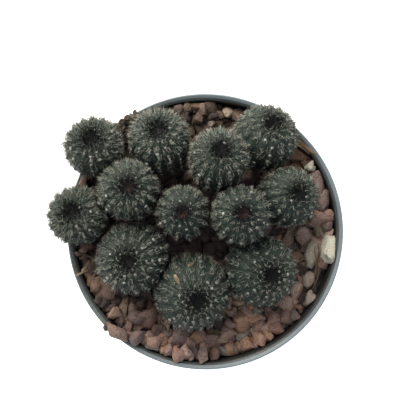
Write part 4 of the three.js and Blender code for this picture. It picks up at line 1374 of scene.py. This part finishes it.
def make_bed(material):
    """The lower part of the dressing: fine crumbs under the stones, out to the wall over the ledge."""
    turn = np.arange(BED_SIDES) / BED_SIDES * math.tau
    around = np.stack([np.cos(turn), np.sin(turn)], 1)
    floor, over_ledge = SOIL_TOP + 0.5, COLLAR_FOOT + 0.3
    outside, ledge = 41.8, inside_radius(COLLAR_FOOT) - 0.4
    rings = []
    for radius in (6, 12, 18, 24, 29, 33, 36.5, 39.5, outside):
        height = dressing_height(*(radius * around.T)) - BED_DEPTH
        rings.append((radius, np.maximum(height, COLLAR_FOOT + 0.9)))
    rings += [(outside, over_ledge), (ledge, over_ledge), (ledge, COLLAR_FOOT - 0.6)]
    rings.append((inside_radius(floor) - 0.7, floor))
    points = [np.column_stack([radius * around, np.broadcast_to(z, BED_SIDES)]) for radius, z in rings]
    points = np.concatenate([*points, [[0, 0, dressing_height(0, 0) - BED_DEPTH], [0, 0, floor]]])
    bed = mesh_object("gravel_bed", points, closed_faces(len(rings), BED_SIDES))
    # Painted light: the bed takes the dark tone and one fixed painted light value, set low as painted shade
    # in the gaps between the stones
    set_attribute(bed, "tone", np.full(len(points), 0.08))
    set_attribute(bed, "light", np.full(len(points), 0.42))
    shade(bed, 40)
    return finish_piece(bed, material, "lava_rock")


def make_gravel(settings):
    """The crushed lava dressing: its bed, the loose stones and the crumbs between them."""
    rng = np.random.default_rng(GRAVEL_SEED)
    chips = [model_chip(rng, 9, 0.13) for _ in range(10)]
    grits = [model_chip(rng, 5, 0.02) for _ in range(3)]
    lava = make_stone_material("crushed_lava", LAVA_STOPS, 1100.0, 0.6 * MM)
    make_bed(lava)
    stones = settle_stones(all_heads(), strew_stones(settings, rng))
    gravel = copies_of_stones("gravel_stones", stones, chips, rng)
    shade(gravel, 50)
    finish_piece(gravel, lava, "lava_rock", "gravel_lava")

    crumbs = []
    while len(crumbs) < settings.crumbs:
        radius, turn = STREWN_RADIUS * math.sqrt(rng.random()), rng.uniform(0, math.tau)
        x, y = polar(radius, turn)
        size = rng.uniform(0.35, 0.95)
        z = max(dressing_height(x, y) + rng.uniform(-1.7, 0.2), COLLAR_FOOT + 0.9)
        z = min(z, STREWN_TOP)
        if radius < inside_radius(z) - 0.5 * size:
            crumbs.append((x, y, z, size, 0.8 * size, 0.7 * size, turn, rng.uniform(0, 1)))
    for x, y, z, reach, count in CRUMB_HEAPS:
        for _ in range(count):
            away, turn, size = reach * rng.random(), rng.uniform(0, math.tau), rng.uniform(0.35, 0.95)
            dx, dy = polar(away, turn)
            place = x + dx, y + dy, z - 0.25 * away**2
            crumbs.append((*place, size, 0.8 * size, 0.7 * size, turn, rng.choice([0.05, 0.88, 0.92])))
    finish_piece(copies_of_stones("gravel_crumbs", crumbs, grits, rng), lava, "lava_rock")


def make_pumice():
    """The pale stones: each cut from a ball by its own planes, worn, pitted and set clear of the wall."""
    material = make_stone_material("pumice_stone", PUMICE_STOPS, 2100.0, 0.2 * MM)
    wear = bpy.data.textures.new("pumice_wear", "CLOUDS")
    wear.noise_scale = 0.55
    for name, (centre, (along, across, up), tone, cuts) in PUMICE.items():
        select_nothing()
        bpy.ops.mesh.primitive_ico_sphere_add(subdivisions=3, radius=1)
        stone = bpy.context.object
        stone.name = stone.data.name = name + "_stone"
        bpy.ops.object.mode_set(mode="EDIT")
        cut_by_planes(cuts)
        bpy.ops.mesh.quads_convert_to_tris()
        bpy.ops.mesh.subdivide(number_cuts=1)
        bpy.ops.object.mode_set(mode="OBJECT")
        stone.dimensions = (2, 2, 2)
        apply_place(stone)
        soften = stone.modifiers.new("soften", "SMOOTH")
        soften.factor, soften.iterations = 0.5, 5
        lumps = stone.modifiers.new("lumps", "DISPLACE")
        lumps.texture, lumps.strength, lumps.mid_level = wear, 0.34, 0.5
        apply_modifiers(stone)
        stone.scale = (across * MM, along * MM, up * MM)
        stone.rotation_euler = (0, 0, math.atan2(centre[1], centre[0]))
        stone.location = Vector(centre) * MM
        apply_place(stone)
        for vertex in stone.data.vertices:
            limit, radial = stone_limit(vertex.co.z / MM, 0.15), vertex.co.xy.length / MM
            if radial > limit:
                vertex.co.xy *= limit / radial
        count = len(stone.data.vertices)
        set_attribute(stone, "tone", np.full(count, tone))
        # Painted light: each pale stone takes one fixed painted light value
        set_attribute(stone, "light", np.full(count, 0.44))
        shade(stone, 35)
        finish_piece(stone, material, "pumice", name)


# Dry flower remains


def smooth_path(points, steps):
    """Points on a smooth line through the given ones."""
    p = np.array(points, float)
    ends = np.concatenate([[2 * p[0] - p[1]], p, [2 * p[-1] - p[-2]]])
    t = (np.arange(steps) / steps)[:, None]
    made = []
    for a, b, c, d in zip(ends, ends[1:], ends[2:], ends[3:]):
        bend = (2 * a - 5 * b + 4 * c - d) * t**2 + (3 * b - a - 3 * c + d) * t**3
        made.append(0.5 * (2 * b + (c - a) * t + bend))
    return np.concatenate([*made, p[-1:]])


def make_strip(name, path, width, thickness, curl, rng):
    """A dry curled strip along a path in millimetres: a hollowed ribbon with frayed edges."""
    middle = smooth_path(path, 8)
    count, cells = len(middle), 6
    tangent = unit(np.gradient(middle, axis=0))
    side = unit(np.cross(tangent, [0, 0, 1.0]))
    up = np.cross(side, tangent)
    run = np.linspace(0, 1, count)
    wide = width / 2 * np.clip(np.sin(math.pi * (0.08 + 0.9 * run)) ** 0.5, 0.25, 1)
    wide = wide * rng.uniform(0.85, 1.1, count)
    bends = [(s * wide, curl * (s * s - 0.5) * wide) for s in np.linspace(-1, 1, cells + 1)]
    rows = [middle + side * out[:, None] + up * rise[:, None] for out, rise in bends]
    faces, uv = [], []
    for i in range(count - 1):
        left, right = run[i], run[i + 1]
        for j in range(cells):
            near, far = i * (cells + 1) + j, (i + 1) * (cells + 1) + j
            faces.append([near, near + 1, far + 1, far])
            low, high = j / cells, (j + 1) / cells
            uv += [(left, low), (left, high), (right, high), (right, low)]
    strip = mesh_object(name, np.stack(rows, 1).reshape(-1, 3), faces)
    set_uv(strip, uv)
    body = strip.modifiers.new("thickness", "SOLIDIFY")
    body.thickness, body.offset = thickness * MM, 0
    smooth = strip.modifiers.new("smooth", "SUBSURF")
    smooth.levels = smooth.render_levels = 1
    apply_modifiers(strip)
    shade(strip)
    return strip


def make_dry_flowers(settings):
    """The dry strips, the withered flowers and the fibres that lie on the stones and heads."""
    rng = np.random.default_rng(STRIPS_SEED)
    material = make_straw_material(settings)
    for name, width, thickness, curl, nodes, path in STRIPS:
        strip = make_strip(name, path, width, thickness, curl, rng)
        finish_piece(strip, material, "dry_flower", *nodes)


def make_heads(settings):
    """The twelve heads, each a body and its bristles."""
    heads = all_heads()
    skin_material, bristle_material = make_skin(settings), make_bristle_material()
    shapes = model_bristle(), model_tuft()
    for number, head in enumerate(heads):
        rng = np.random.default_rng(HEADS_SEED + number)
        skin = skin_of(heads, head, settings)
        make_body(head, skin, skin_material)
        make_bristles(heads, head, skin, settings, bristle_material, shapes, rng)


# The stage


def make_stage(settings):
    """A pale floor, soft light from all round and above, and the photograph's camera."""
    scene = bpy.context.scene
    select_nothing()
    bpy.ops.mesh.primitive_plane_add(size=FLOOR_SIZE)
    floor = bpy.context.object
    floor.name = floor.data.name = "floor"
    floor.data.materials.append(make_floor_material(settings))

    scene.world = bpy.data.worlds.new("studio")
    scene.world.use_nodes = True
    sky = scene.world.node_tree.nodes["Background"].inputs
    sky["Color"].default_value = SKY_COLOUR
    sky["Strength"].default_value = settings.sky

    bpy.ops.object.light_add(type="AREA", location=LAMP_PLACE)
    lamp = bpy.context.object
    lamp.name = "soft_lamp"
    lamp.data.shape, lamp.data.size, lamp.data.energy = "DISK", LAMP_SIZE, settings.lamp
    lamp.data.color = LAMP_COLOUR
    lamp.rotation_euler = (-lamp.location).to_track_quat("-Z", "Y").to_euler()

    place = Vector((CAMERA_X, CAMERA_Y, CAMERA_Z)) * MM
    bpy.ops.object.camera_add(location=place, rotation=(0, 0, 0))
    scene.camera = bpy.context.object
    scene.camera.data.lens = LENS
    scene.camera.data.sensor_width = 36
    scene.camera.data.clip_start = 0.01
    scene.view_settings.view_transform = "Standard"
    select_nothing()


# Operators, panel and registration


class CACTI_OT_shared_patterns(bpy.types.Operator):
    """Makes the pattern groups that the materials share"""

    bl_idname = "cacti.shared_patterns"
    bl_label = "Shared patterns"

    def execute(self, context):
        make_mottling().use_fake_user = True
        make_settled_dust().use_fake_user = True
        return {"FINISHED"}


class CACTI_OT_stage(bpy.types.Operator):
    """Adds the floor, the light and the camera"""

    bl_idname = "cacti.stage"
    bl_label = "Stage"

    def execute(self, context):
        make_stage(context.scene.cacti_studio)
        return {"FINISHED"}


class CACTI_OT_pot(bpy.types.Operator):
    """Adds the plastic nursery pot"""

    bl_idname = "cacti.pot"
    bl_label = "Nursery pot"

    def execute(self, context):
        make_pot(context.scene.cacti_pot)
        return {"FINISHED"}


class CACTI_OT_soil(bpy.types.Operator):
    """Adds the potting mix"""

    bl_idname = "cacti.soil"
    bl_label = "Potting mix"

    def execute(self, context):
        make_soil(context.scene.cacti_filling)
        return {"FINISHED"}


class CACTI_OT_gravel(bpy.types.Operator):
    """Adds the crushed lava rock"""

    bl_idname = "cacti.gravel"
    bl_label = "Lava gravel"

    def execute(self, context):
        make_gravel(context.scene.cacti_filling)
        return {"FINISHED"}


class CACTI_OT_pumice(bpy.types.Operator):
    """Adds the pale pumice stones"""

    bl_idname = "cacti.pumice"
    bl_label = "Pumice stones"

    def execute(self, context):
        make_pumice()
        return {"FINISHED"}


class CACTI_OT_dry_flowers(bpy.types.Operator):
    """Adds the dry remains of flowers"""

    bl_idname = "cacti.dry_flowers"
    bl_label = "Dry flowers"

    def execute(self, context):
        make_dry_flowers(context.scene.cacti_filling)
        return {"FINISHED"}


class CACTI_OT_heads(bpy.types.Operator):
    """Adds the twelve heads with their bristles"""

    bl_idname = "cacti.heads"
    bl_label = "Heads"

    def execute(self, context):
        make_heads(context.scene.cacti_heads)
        return {"FINISHED"}


OPERATORS = (
    CACTI_OT_shared_patterns,
    CACTI_OT_stage,
    CACTI_OT_pot,
    CACTI_OT_soil,
    CACTI_OT_gravel,
    CACTI_OT_pumice,
    CACTI_OT_dry_flowers,
    CACTI_OT_heads,
)
SETTINGS = {
    "cacti_pot": PotSettings,
    "cacti_filling": FillingSettings,
    "cacti_heads": HeadSettings,
    "cacti_studio": StudioSettings,
}


class CACTI_PT_panel(bpy.types.Panel):
    """Lists the pieces in the sidebar"""

    bl_label = "Potted cacti"
    bl_idname = "CACTI_PT_panel"
    bl_space_type = "VIEW_3D"
    bl_region_type = "UI"
    bl_category = "Cacti"

    def draw(self, context):
        for operator in OPERATORS:
            self.layout.operator(operator.bl_idname)
        for name, settings in SETTINGS.items():
            box = self.layout.box()
            for prop in settings.__annotations__:
                box.prop(getattr(context.scene, name), prop)


def register():
    for cls in (*SETTINGS.values(), *OPERATORS, CACTI_PT_panel):
        bpy.utils.register_class(cls)
    for name, settings in SETTINGS.items():
        setattr(bpy.types.Scene, name, bpy.props.PointerProperty(type=settings))


def unregister():
    for name in SETTINGS:
        delattr(bpy.types.Scene, name)
    for cls in (CACTI_PT_panel, *reversed(OPERATORS), *SETTINGS.values()):
        bpy.utils.unregister_class(cls)


def main():
    register()
    bpy.ops.cacti.shared_patterns()
    bpy.ops.cacti.stage()
    bpy.ops.cacti.pot()
    bpy.ops.cacti.soil()
    bpy.ops.cacti.gravel()
    bpy.ops.cacti.pumice()
    bpy.ops.cacti.dry_flowers()
    bpy.ops.cacti.heads()


if __name__ == "__main__":
    main()
